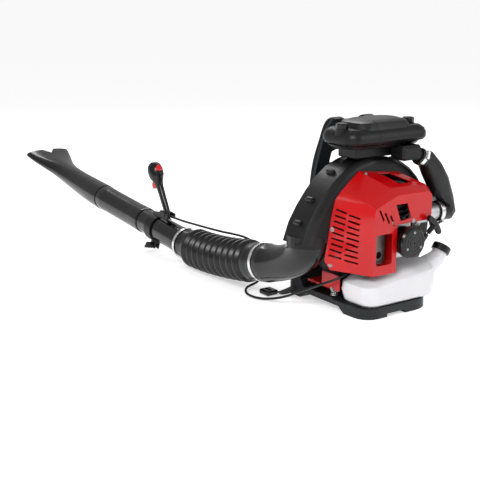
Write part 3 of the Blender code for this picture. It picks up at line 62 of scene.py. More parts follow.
# Blowpipe: its straight run starts where the swivel pipe's axis leaves the flexible pipe.
TUBE_X = -0.190
PIPE_RISE = radians(5.9)
ALONG = Vector((0.0, cos(PIPE_RISE), sin(PIPE_RISE)))
PIPE_START = Vector((TUBE_X, 0.476, 0.0570))
PIPE_R = 0.0372
PIPE_WALL = 0.0024
SWIVEL_LENGTH = 0.246
STRAIGHT_LENGTH = 0.265
GAP = 0.0003
VOLUTE_MID_Y = -0.044
ELBOW_TOP_Z = 0.1677
ELBOW_END = Vector((TUBE_X, 0.102, 0.0905))
RIBS = 10
SIDES = 64

CRANK_Z = 0.178
STARTER_FACE_Y = -0.2075


# ---- camera, floor and light ---------------------------------------------------------------------
SURROUND = 0.48
FLOOR_GLOW = 0.50
FLOOR_REACH = 400.0
FLOOR_Z = -0.0005  # just below the feet, so that the two don't flicker into each other


def make_camera():
    camera = bpy.data.objects.new("camera", bpy.data.cameras.new("camera"))
    camera.data.lens = 75.0
    camera.data.sensor_width = 36.0
    camera.location = (-1.638, -1.834, 0.752)
    camera.rotation_euler = (radians(76.0), 0.0, radians(-35.0))
    SCENE.collection.objects.link(camera)
    SCENE.camera = camera


def area_light(name, place, target, size, power):
    data = bpy.data.lights.new(name, "AREA")
    data.shape = "RECTANGLE"
    data.size, data.size_y = size
    data.energy = power
    light = bpy.data.objects.new(name, data)
    light.location = place
    light.rotation_euler = (Vector(target) - Vector(place)).to_track_quat("-Z", "Y").to_euler()
    SCENE.collection.objects.link(light)


def make_studio():
    """White floor, even surround, and three softboxes: key on the left, fill on the right, rim behind.

    The floor glows a little, so that it stays white under a dim surround.
    """
    world = bpy.data.worlds.new("studio")
    world.use_nodes = True
    background = world.node_tree.nodes["Background"]
    background.inputs["Color"].default_value = (1.0, 1.0, 1.0, 1.0)
    background.inputs["Strength"].default_value = SURROUND
    SCENE.world = world
    SCENE.view_settings.view_transform = "Standard"
    floor_mesh = bpy.data.meshes.new("floor")
    signs = ((-1, -1), (1, -1), (1, 1), (-1, 1))
    corners = [(x * FLOOR_REACH, y * FLOOR_REACH, FLOOR_Z) for x, y in signs]
    floor_mesh.from_pydata(corners, [], [(0, 1, 2, 3)])
    floor = bpy.data.objects.new("floor", floor_mesh)
    SCENE.collection.objects.link(floor)
    look = bpy.data.materials.new("floor")
    look.use_nodes = True
    surface = look.node_tree.nodes["Principled BSDF"]
    surface.inputs["Base Color"].default_value = (0.92, 0.92, 0.92, 1.0)
    surface.inputs["Roughness"].default_value = 0.85
    surface.inputs["Emission Color"].default_value = (1.0, 1.0, 1.0, 1.0)
    surface.inputs["Emission Strength"].default_value = FLOOR_GLOW
    floor_mesh.materials.append(look)
    area_light("key", (-2.2, -1.2, 2.2), (-0.05, 0.2, 0.15), (1.3, 0.8), 48.0)
    area_light("fill", (1.6, -2.4, 1.5), (0.0, 0.0, 0.2), (1.2, 1.2), 16.0)
    area_light("rim", (0.8, 2.2, 2.2), (-0.1, 0.3, 0.15), (2.0, 0.8), 34.0)


# ---- node materials ------------------------------------------------------------------------------
class Graph:
    """Small helper that adds nodes to a material and joins them."""

    def __init__(self, name):
        self.material = bpy.data.materials.new(name)
        self.material.use_nodes = True
        self.tree = self.material.node_tree
        self.shader = self.tree.nodes["Principled BSDF"]
        self.place = self.add("ShaderNodeTexCoord").outputs["Object"]

    def add(self, kind, **settings):
        node = self.tree.nodes.new(kind)
        for key, value in settings.items():
            setattr(node, key, value)
        return node

    def join(self, source, target):
        self.tree.links.new(source, target)

    def set(self, **values):
        for key, value in values.items():
            self.shader.inputs[key.replace("_", " ")].default_value = value

    def noise(self, scale, detail=3.0, stretch=None, roughness=0.5):
        node = self.add("ShaderNodeTexNoise")
        node.inputs["Scale"].default_value = scale
        node.inputs["Detail"].default_value = detail
        node.inputs["Roughness"].default_value = roughness
        self.join(self.stretched(stretch), node.inputs["Vector"])
        return node.outputs["Fac"]

    def stretched(self, stretch):
        if stretch is None:
            return self.place
        mapping = self.add("ShaderNodeMapping")
        mapping.inputs["Scale"].default_value = stretch
        self.join(self.place, mapping.inputs["Vector"])
        return mapping.outputs["Vector"]

    def ramp(self, source, stops):
        node = self.add("ShaderNodeValToRGB")
        elements = node.color_ramp.elements
        while len(elements) < len(stops):
            elements.new(0.5)
        for element, (position, colour) in zip(elements, stops):
            element.position = position
            element.color = (*colour, 1.0) if len(colour) == 3 else colour
        self.join(source, node.inputs["Fac"])
        return node.outputs["Color"]

    def grey_ramp(self, source, low, high, start=0.3, stop=0.7):
        return self.ramp(source, [(start, (low,) * 3), (stop, (high,) * 3)])

    def mix(self, factor, first, second, blend="MIX"):
        node = self.add("ShaderNodeMix", data_type="RGBA", blend_type=blend)
        self.connect(factor, node.inputs[0])
        self.connect(first, node.inputs[6])
        self.connect(second, node.inputs[7])
        return node.outputs[2]

    def connect(self, value, socket):
        if isinstance(value, bpy.types.NodeSocket):
            self.join(value, socket)
        else:
            socket.default_value = value

    def bump(self, heights):
        """Chains bump nodes: each entry is (height socket, strength, distance)."""
        normal = None
        for height, strength, distance in heights:
            node = self.add("ShaderNodeBump")
            node.inputs["Strength"].default_value = strength
            node.inputs["Distance"].default_value = distance
            self.join(height, node.inputs["Height"])
            if normal is not None:
                self.join(normal, node.inputs["Normal"])
            normal = node.outputs["Normal"]
        self.join(normal, self.shader.inputs["Normal"])

    def edges(self, low=0.52, high=0.62):
        """White on sharp convex edges."""
        return self.grey_ramp(self.add("ShaderNodeNewGeometry").outputs["Pointiness"], 0.0, 1.0, low, high)


def rgba(colour):
    return (*colour, 1.0)


def scaled(colour, factor):
    return tuple(min(1.0, c * factor) for c in colour)


def moulded(name, colour, roughness, grain=0.15, grain_scale=900.0, spread=0.12, wear=0.25, coat=0.0):
    """Moulded plastic: fine grain, faint colour and gloss variation, and paler rubbed edges."""
    graph = Graph(name)
    cloud = graph.noise(14.0, 4.0)
    base = graph.ramp(cloud, [(0.3, scaled(colour, 1.0 - spread)), (0.7, scaled(colour, 1.0 + spread))])
    rubbed = scaled([c + 0.02 for c in colour], 1.5)
    worn = graph.mix(graph.edges(), (0.0, 0.0, 0.0, 1.0), (wear, wear, wear, 1.0))
    graph.join(graph.mix(worn, base, rgba(rubbed)), graph.shader.inputs["Base Color"])
    smear = graph.noise(38.0, 5.0, roughness=0.65)
    graph.join(graph.grey_ramp(smear, roughness - 0.05, roughness + 0.07), graph.shader.inputs["Roughness"])
    graph.bump([(graph.noise(grain_scale, 2.0), grain, 0.0003), (cloud, 0.05, 0.0010)])
    graph.set(Coat_Weight=coat, Coat_Roughness=0.08, Specular_IOR_Level=0.3)
    return graph.material


def gloss_plastic(name, colour, roughness=0.2, coat=0.35):
    return moulded(name, colour, roughness, grain=0.02, grain_scale=500.0, spread=0.06, wear=0.12,
                   coat=coat)


def rubber(name, colour, roughness):
    graph = Graph(name)
    bloom = graph.noise(22.0, 6.0, roughness=0.7)
    graph.join(graph.ramp(bloom, [(0.35, scaled(colour, 0.85)), (0.75, scaled(colour, 1.35))]),
               graph.shader.inputs["Base Color"])
    graph.join(graph.grey_ramp(bloom, roughness - 0.05, roughness + 0.12), graph.shader.inputs["Roughness"])
    graph.bump([(graph.noise(420.0, 3.0), 0.06, 0.0004)])
    graph.set(Specular_IOR_Level=0.42)
    return graph.material


def brushed(name, colour, roughness, stretch=(1.0, 40.0, 1.0)):
    """Plated or machined steel with fine drawn lines."""
    graph = Graph(name)
    lines = graph.noise(120.0, 3.0, stretch)
    graph.join(graph.ramp(lines, [(0.3, scaled(colour, 0.8)), (0.7, scaled(colour, 1.12))]),
               graph.shader.inputs["Base Color"])
    graph.join(graph.grey_ramp(lines, roughness - 0.06, roughness + 0.12), graph.shader.inputs["Roughness"])
    graph.bump([(lines, 0.12, 0.0002)])
    graph.set(Metallic=1.0)
    return graph.material


def cast(name, colour, roughness):
    graph = Graph(name)
    pits = graph.noise(260.0, 4.0, roughness=0.7)
    patch = graph.noise(9.0, 3.0)
    graph.join(graph.ramp(patch, [(0.3, scaled(colour, 0.85)), (0.7, scaled(colour, 1.1))]),
               graph.shader.inputs["Base Color"])
    graph.join(graph.grey_ramp(pits, roughness - 0.05, roughness + 0.12), graph.shader.inputs["Roughness"])
    graph.bump([(pits, 0.3, 0.0004)])
    graph.set(Metallic=1.0)
    return graph.material


def tank_plastic(name, colour):
    """Blow-moulded natural polythene: cloudy, slightly see-through, with faint flow marks."""
    graph = Graph(name)
    flow = graph.noise(16.0, 5.0, (1.0, 1.0, 3.0))
    fuel = graph.add("ShaderNodeSeparateXYZ")
    graph.join(graph.place, fuel.inputs[0])
    level = graph.grey_ramp(fuel.outputs["Z"], 0.0, 1.0, 0.045, 0.085)
    clouds = graph.ramp(flow, [(0.3, scaled(colour, 0.96)), (0.7, scaled(colour, 1.03))])
    graph.join(graph.mix(level, rgba(scaled(colour, 0.97)), clouds), graph.shader.inputs["Base Color"])
    graph.join(graph.grey_ramp(flow, 0.30, 0.42), graph.shader.inputs["Roughness"])
    graph.bump([(flow, 0.10, 0.0010), (graph.noise(500.0, 2.0), 0.05, 0.0003)])
    graph.set(Subsurface_Weight=0.35, Subsurface_Scale=0.01, Coat_Weight=0.15, Coat_Roughness=0.2)
    graph.shader.inputs["Subsurface Radius"].default_value = (1.0, 0.95, 1.1)
    return graph.material


def weave(name, colour, scale=520.0, strength=0.6):
    """Woven cloth: two crossed thread bands with thread-to-thread variation."""
    graph = Graph(name)
    bands = []
    for direction in ("X", "Z"):
        wave = graph.add("ShaderNodeTexWave", wave_type="BANDS", bands_direction=direction)
        wave.inputs["Scale"].default_value = scale / 6.0
        wave.inputs["Distortion"].default_value = 0.6
        wave.inputs["Detail"].default_value = 1.0
        graph.join(graph.place, wave.inputs["Vector"])
        bands.append(wave.outputs["Fac"])
    threads = graph.mix(0.5, bands[0], bands[1], "ADD")
    fuzz = graph.noise(60.0, 5.0)
    tint = graph.ramp(fuzz, [(0.3, scaled(colour, 0.8)), (0.7, scaled(colour, 1.3))])
    graph.join(graph.mix(0.5, tint, threads, "MULTIPLY"), graph.shader.inputs["Base Color"])
    graph.join(graph.grey_ramp(fuzz, 0.78, 0.95), graph.shader.inputs["Roughness"])
    graph.bump([(threads, strength, 0.0006), (fuzz, 0.2, 0.0006)])
    graph.set(Sheen_Weight=0.4, Sheen_Roughness=0.4)
    return graph.material


def webbing(name, colour):
    """Flat strap on its own map: ribs run along the strap, crossed by diagonal chevrons."""
    graph = Graph(name)
    flat = graph.add("ShaderNodeUVMap", uv_map="strap").outputs["UV"]
    ribs = graph.add("ShaderNodeTexWave", wave_type="BANDS", bands_direction="X")
    ribs.inputs["Scale"].default_value = 3.2
    chevrons = graph.add("ShaderNodeTexWave", wave_type="BANDS", bands_direction="DIAGONAL")
    chevrons.inputs["Scale"].default_value = 40.0
    for wave in (ribs, chevrons):
        graph.join(flat, wave.inputs["Vector"])
    threads = graph.mix(0.5, ribs.outputs["Fac"], chevrons.outputs["Fac"], "MULTIPLY")
    tint = graph.ramp(threads, [(0.2, scaled(colour, 0.7)), (0.8, scaled(colour, 1.5))])
    graph.join(tint, graph.shader.inputs["Base Color"])
    graph.join(graph.grey_ramp(graph.noise(90.0, 4.0), 0.7, 0.9), graph.shader.inputs["Roughness"])
    graph.bump([(threads, 0.5, 0.0008)])
    graph.set(Sheen_Weight=0.3, Sheen_Roughness=0.4)
    return graph.material


def pleated_paper(name, colour):
    graph = Graph(name)
    wave = graph.add("ShaderNodeTexWave", wave_type="BANDS", bands_direction="X", wave_profile="TRI")
    wave.inputs["Scale"].default_value = 42.0
    graph.join(graph.place, wave.inputs["Vector"])
    folds = wave.outputs["Fac"]
    # Darker in the fold valleys and paler on the ridges: painted shade in the creases.
    graph.join(graph.ramp(folds, [(0.0, scaled(colour, 0.6)), (1.0, scaled(colour, 1.1))]),
               graph.shader.inputs["Base Color"])
    graph.join(graph.grey_ramp(graph.noise(200.0), 0.8, 0.95), graph.shader.inputs["Roughness"])
    graph.bump([(folds, 0.9, 0.003)])
    return graph.material


def glazed(name, colour):
    graph = Graph(name)
    spots = graph.noise(80.0, 4.0)
    glaze = graph.ramp(spots, [(0.3, scaled(colour, 0.93)), (0.7, colour)])
    graph.join(glaze, graph.shader.inputs["Base Color"])
    graph.join(graph.grey_ramp(spots, 0.15, 0.28), graph.shader.inputs["Roughness"])
    graph.bump([(spots, 0.04, 0.0005)])
    return graph.material


def clear_dome(name, colour):
    graph = Graph(name)
    haze = graph.noise(60.0, 3.0)
    tint = graph.ramp(haze, [(0.3, scaled(colour, 0.9)), (0.7, colour)])
    graph.join(tint, graph.shader.inputs["Base Color"])
    graph.join(graph.grey_ramp(haze, 0.08, 0.2), graph.shader.inputs["Roughness"])
    graph.bump([(haze, 0.03, 0.0005)])
    graph.set(Transmission_Weight=0.7, IOR=1.45)
    return graph.material


def make_looks():
    return {
        "housing_black": moulded("housing_black", (0.0042, 0.0043, 0.0046), 0.40, grain=0.25),
        "gloss_black": gloss_plastic("gloss_black", (0.0028, 0.0028, 0.0034), 0.19, coat=0.22),
        "base_grey": moulded("base_grey", (0.0100, 0.0108, 0.0130), 0.50, grain=0.3),
        "cover_red": gloss_plastic("cover_red", (0.50, 0.0010, 0.0026), 0.20, coat=0.25),
        "tank_white": tank_plastic("tank_white", (0.80, 0.79, 0.84)),
        "rubber_black": rubber("rubber_black", (0.0036, 0.0036, 0.0042), 0.28),
        "fabric_black": weave("fabric_black", (0.012, 0.012, 0.0135)),
        "clamp_steel": brushed("clamp_steel", (0.75, 0.75, 0.76), 0.22),
        "cast_aluminium": cast("cast_aluminium", (0.55, 0.55, 0.56), 0.42),
        "engine_black": cast("engine_black", (0.030, 0.030, 0.032), 0.55),
        "dark_steel": brushed("dark_steel", (0.16, 0.155, 0.15), 0.38),
        "button_red": gloss_plastic("button_red", (0.66, 0.010, 0.014), 0.30, coat=0.2),
        "paper_element": pleated_paper("paper_element", (0.62, 0.52, 0.32)),
        "primer_clear": clear_dome("primer_clear", (0.80, 0.78, 0.72)),
        "ceramic_white": glazed("ceramic_white", (0.85, 0.84, 0.80)),
        "webbing": webbing("webbing", (0.010, 0.010, 0.0115)),
        "brass": brushed("brass", (0.70, 0.50, 0.20), 0.30),
        "screw_steel": brushed("screw_steel", (0.42, 0.42, 0.43), 0.30, (1.0, 1.0, 1.0)),
        "screw_black": brushed("screw_black", (0.05, 0.05, 0.052), 0.40, (1.0, 1.0, 1.0)),
        "dark_inside": moulded("dark_inside", (0.006, 0.006, 0.006), 0.60),
    }


LOOKS = make_looks()
SLOT_OF = {part["node"]: part["material_slot"] for part in frame["record"]["subparts"]}
BODY_OF = {node: body for body, nodes in frame["record"]["behaviour"]["bodies"].items() for node in nodes}


# ---- mesh helpers --------------------------------------------------------------------------------
def new_piece(name, mesh, look, body=None, smooth=35.0):
    """Links a mesh as a piece with its look. With no body named, the caller attaches it or bakes its place
    into its mesh.
    """
    piece = bpy.data.objects.new(name, mesh)
    SCENE.collection.objects.link(piece)
    mesh.materials.clear()
    mesh.materials.append(LOOKS[look])
    mesh.shade_smooth()
    mesh.set_sharp_from_angle(angle=radians(smooth))
    if body is not None:
        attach(piece, body)
    return piece


def mesh_of(name, points, faces):
    mesh = bpy.data.meshes.new(name)
    mesh.from_pydata([tuple(p) for p in points], [], faces)
    work = bmesh.new()
    work.from_mesh(mesh)
    bmesh.ops.remove_doubles(work, verts=work.verts, dist=1e-6)
    bmesh.ops.recalc_face_normals(work, faces=work.faces)
    work.to_mesh(mesh)
    work.free()
    return mesh


def ring_faces(sides, first, second):
    """Four-sided faces between two rings, by their places in the list of rings."""
    faces = []
    for k in range(sides):
        n = (k + 1) % sides
        faces.append((first * sides + k, first * sides + n, second * sides + n, second * sides + k))
    return faces


def skin_mesh(name, rings, wrap=False):
    """Joins rings of equal count; wrap joins the last to the first, otherwise both ends are closed."""
    sides = len(rings[0])
    points = [p for ring in rings for p in ring]
    faces = []
    for r in range(len(rings) - 1):
        faces += ring_faces(sides, r, r + 1)
    if wrap:
        faces += ring_faces(sides, len(rings) - 1, 0)
    else:
        faces.append(tuple(range(sides - 1, -1, -1)))
        faces.append(tuple(range((len(rings) - 1) * sides, len(rings) * sides)))
    return mesh_of(name, points, faces)


def tangents(points):
    last = len(points) - 1
    return [(points[min(k + 1, last)] - points[max(k - 1, 0)]).normalized() for k in range(last + 1)]


def oval(centre, tangent, across, half_across, half_up, sides=SIDES):
    side = (across - tangent * across.dot(tangent)).normalized()
    up = tangent.cross(side)
    return [centre + side * half_across * cos(tau * k / sides) + up * half_up * sin(tau * k / sides)
            for k in range(sides)]


def tube_mesh(name, points, radii, across=X_AXIS, wall=None, sides=SIDES):
    """Round tube along points; with a wall it is a shell open at both ends."""
    outer, inner = [], []
    for point, tangent, radius in zip(points, tangents(points), radii):
        outer.append(oval(point, tangent, across, radius, radius, sides))
        if wall is not None:
            inner.append(oval(point, tangent, across, radius - wall, radius - wall, sides))
    return skin_mesh(name, outer + inner[::-1], wrap=wall is not None)


def turned_mesh(name, profile, centre, axis, sides=SIDES, wrap=True):
    """Turned form: profile is (radius, distance along the axis)."""
    across = X_AXIS if abs(axis.dot(X_AXIS)) < 0.9 else Y_AXIS
    rings = [oval(centre + axis * along, axis, across, radius, radius, sides) for radius, along in profile]
    return skin_mesh(name, rings, wrap)


def bezier(a, b, c, d, steps):
    made = []
    for k in range(steps + 1):
        t = k / steps
        s = 1.0 - t
        made.append(a * s**3 + b * 3 * s * s * t + c * 3 * s * t * t + d * t**3)
    return made


def catmull(knots, spacing):
    """Smooth route through knots with roughly even spacing."""
    ext = [knots[0] * 2 - knots[1]] + list(knots) + [knots[-1] * 2 - knots[-2]]
    made = []
    for k in range(1, len(ext) - 2):
        p0, p1, p2, p3 = ext[k - 1], ext[k], ext[k + 1], ext[k + 2]
        steps = max(2, round((p2 - p1).length / spacing))
        for i in range(steps):
            t = i / steps
            made.append(0.5 * (2 * p1 + (p2 - p0) * t + (2 * p0 - 5 * p1 + 4 * p2 - p3) * t * t
                               + (3 * p1 - p0 - 3 * p2 + p3) * t**3))
    return made + [knots[-1]]


def cad_copy(node, name):
    mesh = frame["nodes"][node].data.copy()
    mesh.name = name
    return mesh


# ---- CAD nodes with rounded edges ----------------------------------------------------------------
BEVEL_OF = {
    "base_frame": 0.0022, "back_frame": 0.0022, "engine_cover": 0.0016, "filter_cover": 0.0020,
    "filter_base": 0.0015, "fuel_tank": 0.0030, "volute_rear": 0.0012, "volute_front": 0.0012,
    "handle_clamp": 0.0008, "handle_arm": 0.0006,
    "starter_housing": 0.0009, "engine_bracket": 0.0012, "strap_buckle": 0.0008, "fuel_cap": 0.0008,
    "pull_handle": 0.0004, "intake_elbow": 0.0004, "plug_cap": 0.0006,
}
PLAIN_BEVEL = 0.0005
SAME_POINT = 2e-6
FLAT_WITHIN = radians(0.8)
SHARP_OVER = radians(32.0)


def dress(node):
    """Replaces a CAD node by a copy with joined flat faces, rounded edges and smooth curves."""
    mesh = cad_copy(node, node + "_look")
    work = bmesh.new()
    work.from_mesh(mesh)
    bmesh.ops.remove_doubles(work, verts=work.verts, dist=SAME_POINT)
    bmesh.ops.dissolve_limit(work, angle_limit=FLAT_WITHIN, verts=work.verts, edges=work.edges)
    width = BEVEL_OF.get(node, PLAIN_BEVEL)
    sharp = [e for e in work.edges if len(e.link_faces) == 2 and e.calc_face_angle(0.0) > SHARP_OVER]
    bmesh.ops.bevel(work, geom=sharp, offset=width, segments=3, profile=0.5, affect="EDGES",
                    clamp_overlap=True)
    work.to_mesh(mesh)
    work.free()
    piece = new_piece(node + "_look", mesh, SLOT_OF[node], BODY_OF[node], 30.0)
    weighted = piece.modifiers.new("normals", "WEIGHTED_NORMAL")
    weighted.keep_sharp = True
    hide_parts(node)


# ---- blowpipe ------------------------------------------------------------------------------------
def pipe_point(distance):
    return PIPE_START + ALONG * distance


def outlet_elbow():
    """Bend from the fan housing's mouth down and forward to the flexible pipe."""
    start = Vector((TUBE_X, VOLUTE_MID_Y, ELBOW_TOP_Z))
    below = start - Z_AXIS * 0.003
    first, second = Vector((TUBE_X, -0.028, 0.130)), Vector((TUBE_X, 0.040, 0.1010))
    route = [start] + bezier(below, first, second, ELBOW_END, 30)
    last = len(route) - 1
    radii = [0.0445 + 0.005 * abs(1.0 - 2.0 * k / last) ** 3 for k in range(last + 1)]
    mesh = tube_mesh("outlet_elbow_look", route, radii, wall=0.0028)
    piece = new_piece("outlet_elbow_look", mesh, "gloss_black", "chassis")
    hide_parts("outlet_elbow")


def bellows_point(y):
    """Centre line of the flexible pipe: it leaves the elbow dipping and ends on the pipe's rise."""
    start = ELBOW_END + Y_AXIS * GAP
    end = pipe_point(0.040)
    span = end.y - start.y
    share = (y - start.y) / span
    s2, s3 = share * share, share**3
    entry, leave = -0.17, sin(PIPE_RISE) / cos(PIPE_RISE)
    z = ((2 * s3 - 3 * s2 + 1) * start.z + (s3 - 2 * s2 + share) * span * entry
         + (3 * s2 - 2 * s3) * end.z + (s3 - s2) * span * leave)
    return Vector((TUBE_X, y, z))


BELLOWS_MIDDLE = 0.3075
BELLOWS_GAP = 0.0024  # between the elbow's rim and the rubber cuff
BELLOWS_STEP = 0.0014
BELLOWS_BORE = 0.0435
BELLOWS_WALL = 0.0025


def bellows_radius(y):
    """Plain cuff, ten rounded ribs, plain cuff."""
    ribs_from, ribs_to = 0.176, 0.454
    if y < ribs_from:
        ease = max(0.0, (y - 0.148) / (ribs_from - 0.148))
        return 0.0480 + 0.0012 * sin(pi * min(1.0, ease))
    if y > ribs_to:
        ease = min(1.0, (y - ribs_to) / 0.016)
        return 0.0448 + (0.0416 - 0.0448) * ease
    along = (y - ribs_from) / (ribs_to - ribs_from)
    valley = 0.0462 - 0.0015 * along
    peak = 0.0560 - 0.0010 * along
    wave = 0.5 - 0.5 * cos(tau * RIBS * along)
    return valley + (peak - valley) * wave**0.75


def bellows_half(name, low, high):
    steps = round((high - low) / BELLOWS_STEP)
    stations = [low + (high - low) * k / steps for k in range(steps + 1)]
    points = [bellows_point(y) for y in stations]
    radii = [bellows_radius(y) for y in stations]
    outer = [oval(p, t, X_AXIS, r, r) for p, t, r in zip(points, tangents(points), radii)]
    bores = [min(BELLOWS_BORE, r - BELLOWS_WALL) for r in radii]
    inner = [oval(p, t, X_AXIS, r, r) for p, t, r in zip(points, tangents(points), bores)]
    mesh = skin_mesh(name, outer + inner[::-1], wrap=True)
    piece = new_piece(name, mesh, "rubber_black", None, 60.0)
    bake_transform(piece)
    return piece


def flexible_pipe():
    """Two halves that meet at BELLOWS_MIDDLE."""
    rear = bellows_half("bellows_rear", ELBOW_END.y + BELLOWS_GAP, BELLOWS_MIDDLE)
    bellows_half("bellows_front", BELLOWS_MIDDLE, pipe_point(0.040).y)
    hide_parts("flexible_pipe")


def pipe_piece(name, node, body, stations):
    points = [pipe_point(distance) for distance, _ in stations]
    mesh = tube_mesh(name, points, [radius for _, radius in stations], wall=PIPE_WALL)
    piece = new_piece(name, mesh, "gloss_black", body, 50.0)
    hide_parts(node)


def rigid_pipes():
    end = SWIVEL_LENGTH
    pipe_piece("swivel_pipe_look", "swivel_pipe", "swivel", [
        (0.0403, 0.0380), (0.052, 0.0380), (0.060, 0.0378), (0.072, 0.0374), (0.080, PIPE_R),
        (end - 0.040, PIPE_R), (end - 0.034, PIPE_R - 0.0006), (end - 0.030, PIPE_R - 0.0010),
        (end - 0.010, PIPE_R - 0.0010),
        (end, PIPE_R - 0.0012)])
    start = SWIVEL_LENGTH + GAP
    stop = start + STRAIGHT_LENGTH
    pipe_piece("straight_pipe_look", "straight_pipe", "straight", [
        (start, PIPE_R + 0.0002), (start + 0.002, PIPE_R + 0.0012), (start + 0.005, PIPE_R + 0.0016),
        (start + 0.010, PIPE_R + 0.0014), (start + 0.046, PIPE_R + 0.0014),
        (start + 0.052, PIPE_R + 0.0009),
        (start + 0.070, PIPE_R + 0.0008), (stop - 0.045, PIPE_R + 0.0008), (stop - 0.040, PIPE_R + 0.0012),
        (stop - 0.034, PIPE_R + 0.0015), (stop - 0.004, PIPE_R + 0.0015), (stop, PIPE_R + 0.0008)])


NOZZLE_RUN = Vector((0.0, 0.433, 0.0880))
NOZZLE_WALL = 0.0022
NOZZLE_STEPS = 60
NOTCH_RINGS = 8
NOTCH_HALF_WIDTH = 0.020
NOTCH_DEPTH = 0.55  # share of the last rings' length
NOZZLE_WIDTHS = (0.0400, 0.0398, 0.0388, 0.0378, 0.0372, 0.0375, 0.0395, 0.0450, 0.0560, 0.0680, 0.0770)
NOZZLE_HEIGHTS = (0.0400, 0.0398, 0.0388, 0.0372, 0.0350, 0.0325, 0.0295, 0.0260, 0.0220, 0.0180, 0.0150)


def eased(values, share):
    """Smooth value between even stations."""
    where = share * (len(values) - 1)
    k = min(len(values) - 2, int(where))
    t = where - k
    before = values[max(k - 1, 0)]
    after = values[min(k + 2, len(values) - 1)]
    here, there = values[k], values[k + 1]
    return 0.5 * (2 * here + (there - before) * t + (2 * before - 5 * here + 4 * there - after) * t * t
                  + (3 * here - before - 3 * there + after) * t**3)


def squared(centre, tangent, half_across, half_up, power):
    """Oval that turns into a rounded rectangle as power grows."""
    side = X_AXIS
    up = tangent.cross(side)
    ring = []
    for k in range(SIDES):
        c, s = cos(tau * k / SIDES), sin(tau * k / SIDES)
        across = abs(c) ** (2.0 / power) * (1 if c >= 0 else -1)
        rise = abs(s) ** (2.0 / power) * (1 if s >= 0 else -1)
        ring.append(centre + side * half_across * across + up * half_up * rise)
    return ring


def nozzle():
    """Rises and flattens from round to a wide mouth."""
    start = pipe_point(SWIVEL_LENGTH + STRAIGHT_LENGTH + 2 * GAP)
    tip = start + NOZZLE_RUN
    steps = NOZZLE_STEPS
    route = bezier(start, start + ALONG * 0.15, start + Vector((0.0, 0.300, 0.038)), tip, steps)
    wall = NOZZLE_WALL
    outer, inner = [], []
    for k, (centre, tangent) in enumerate(zip(route, tangents(route))):
        share = k / steps
        half_width = eased(NOZZLE_WIDTHS, share)
        half_height = eased(NOZZLE_HEIGHTS, share)
        power = 2.0 + 0.5 * max(0.0, share - 0.6) / 0.4
        outer.append(squared(centre, tangent, half_width, half_height, power))
        inner.append(squared(centre, tangent, half_width - wall, half_height - wall, power))
    for rings in (outer, inner):
        notch_mouth(rings, steps)
    mesh = skin_mesh("nozzle_look", outer + inner[::-1], wrap=True)
    piece = new_piece("nozzle_look", mesh, "gloss_black", "tip", 50.0)
    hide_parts("nozzle")


def notch_mouth(rings, steps):
    """Draws the last rings back along the middle of the mouth, which gives its V notch."""
    for back in range(NOTCH_RINGS):
        ring = rings[steps - back]
        behind = rings[steps - NOTCH_RINGS]
        for k, point in enumerate(ring):
            off = abs(point.x - TUBE_X) / NOTCH_HALF_WIDTH
            if off < 1.0:
                pull = (1.0 - off) * (1.0 - back / NOTCH_RINGS)
                ring[k] = point.lerp(Vector((point.x, behind[k].y, behind[k].z)), NOTCH_DEPTH * pull)


# ---- throttle cable ------------------------------------------------------------------------------
CABLE_R = 0.0032
CABLE_STEP = 0.004
CABLE_ENGINE = [
    Vector((0.0760, -0.0965, 0.1950)), Vector((0.0740, -0.0965, 0.1600)),
    Vector((0.0560, -0.0965, 0.1250)), Vector((0.0000, -0.0965, 0.1150)),
    Vector((-0.0600, -0.0965, 0.1130)), Vector((-0.1000, -0.0970, 0.1040)),
    Vector((-0.1300, -0.0950, 0.0890)), Vector((-0.1580, -0.0640, 0.0700)),
    Vector((-0.1780, -0.0100, 0.0430)), Vector((-0.1940, 0.0350, 0.0200)),
    Vector((-0.2120, 0.0750, 0.0075)), Vector((-0.2270, 0.1100, 0.0042)),
    Vector((-0.2280, 0.1500, 0.0060)), Vector((-0.2050, 0.1800, 0.0100)),
    Vector((-0.1600, 0.1920, 0.0180)), Vector((-0.1300, 0.2100, 0.0420)),
    Vector((-0.1250, 0.2240, 0.0700)),
]
CABLE_BELLOWS = [
    Vector((-0.1250, 0.2240, 0.0700)), Vector((-0.1280, 0.2450, 0.0980)), Vector((-0.1400, 0.2800, 0.1130)),
    Vector((-0.1500, 0.3300, 0.1150)), Vector((-0.1550, 0.3600, 0.1140)),
]
CABLE_PIPE = [
    Vector((-0.1550, 0.3600, 0.1140)), Vector((-0.1650, 0.4100, 0.1150)), Vector((-0.1780, 0.4600, 0.1180)),
    Vector((-0.1880, 0.5100, 0.1200)), Vector((-0.1900, 0.5500, 0.1210)), Vector((-0.1900, 0.5800, 0.1220)),
]


def cable_piece(name, knots, node):
    """One length of the sheathed cable, with its own route and length."""
    route = catmull(knots, CABLE_STEP)
    piece = new_piece(name, tube_mesh(name, route, [CABLE_R] * len(route), Y_AXIS + X_AXIS * 0.3, sides=16),
                      "rubber_black", None, 60.0)
    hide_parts(node)
    return piece


def throttle_cable():
    """Three lengths that meet end to end: the engine's, the flexible pipe's and the blowpipe's."""
    engine = cable_piece("throttle_cable_engine", CABLE_ENGINE, "throttle_cable")
    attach(engine, "chassis")
    middle = cable_piece("throttle_cable_middle", CABLE_BELLOWS, "throttle_cable_bellows")
    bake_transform(middle)
    front = cable_piece("throttle_cable_front", CABLE_PIPE, "throttle_cable_pipe")
    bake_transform(front)


# ---- padded pieces -------------------------------------------------------------------------------
PAD_VOXEL = 0.0045
PAD_STEPS = 20
PAD_RISE = 0.0045
PAD_CHANNELS = (0.165, 0.215, 0.265, 0.315)
CHANNEL_DEPTH = 0.0030
CHANNEL_SPREAD = 0.0045
FRONT_FACING = 0.2
BELL_BASE = 2.718


def bell(offset, spread):
    """1 at no offset, falling smoothly to 0 a few spreads away."""
    return BELL_BASE ** (-((offset / spread) ** 2))


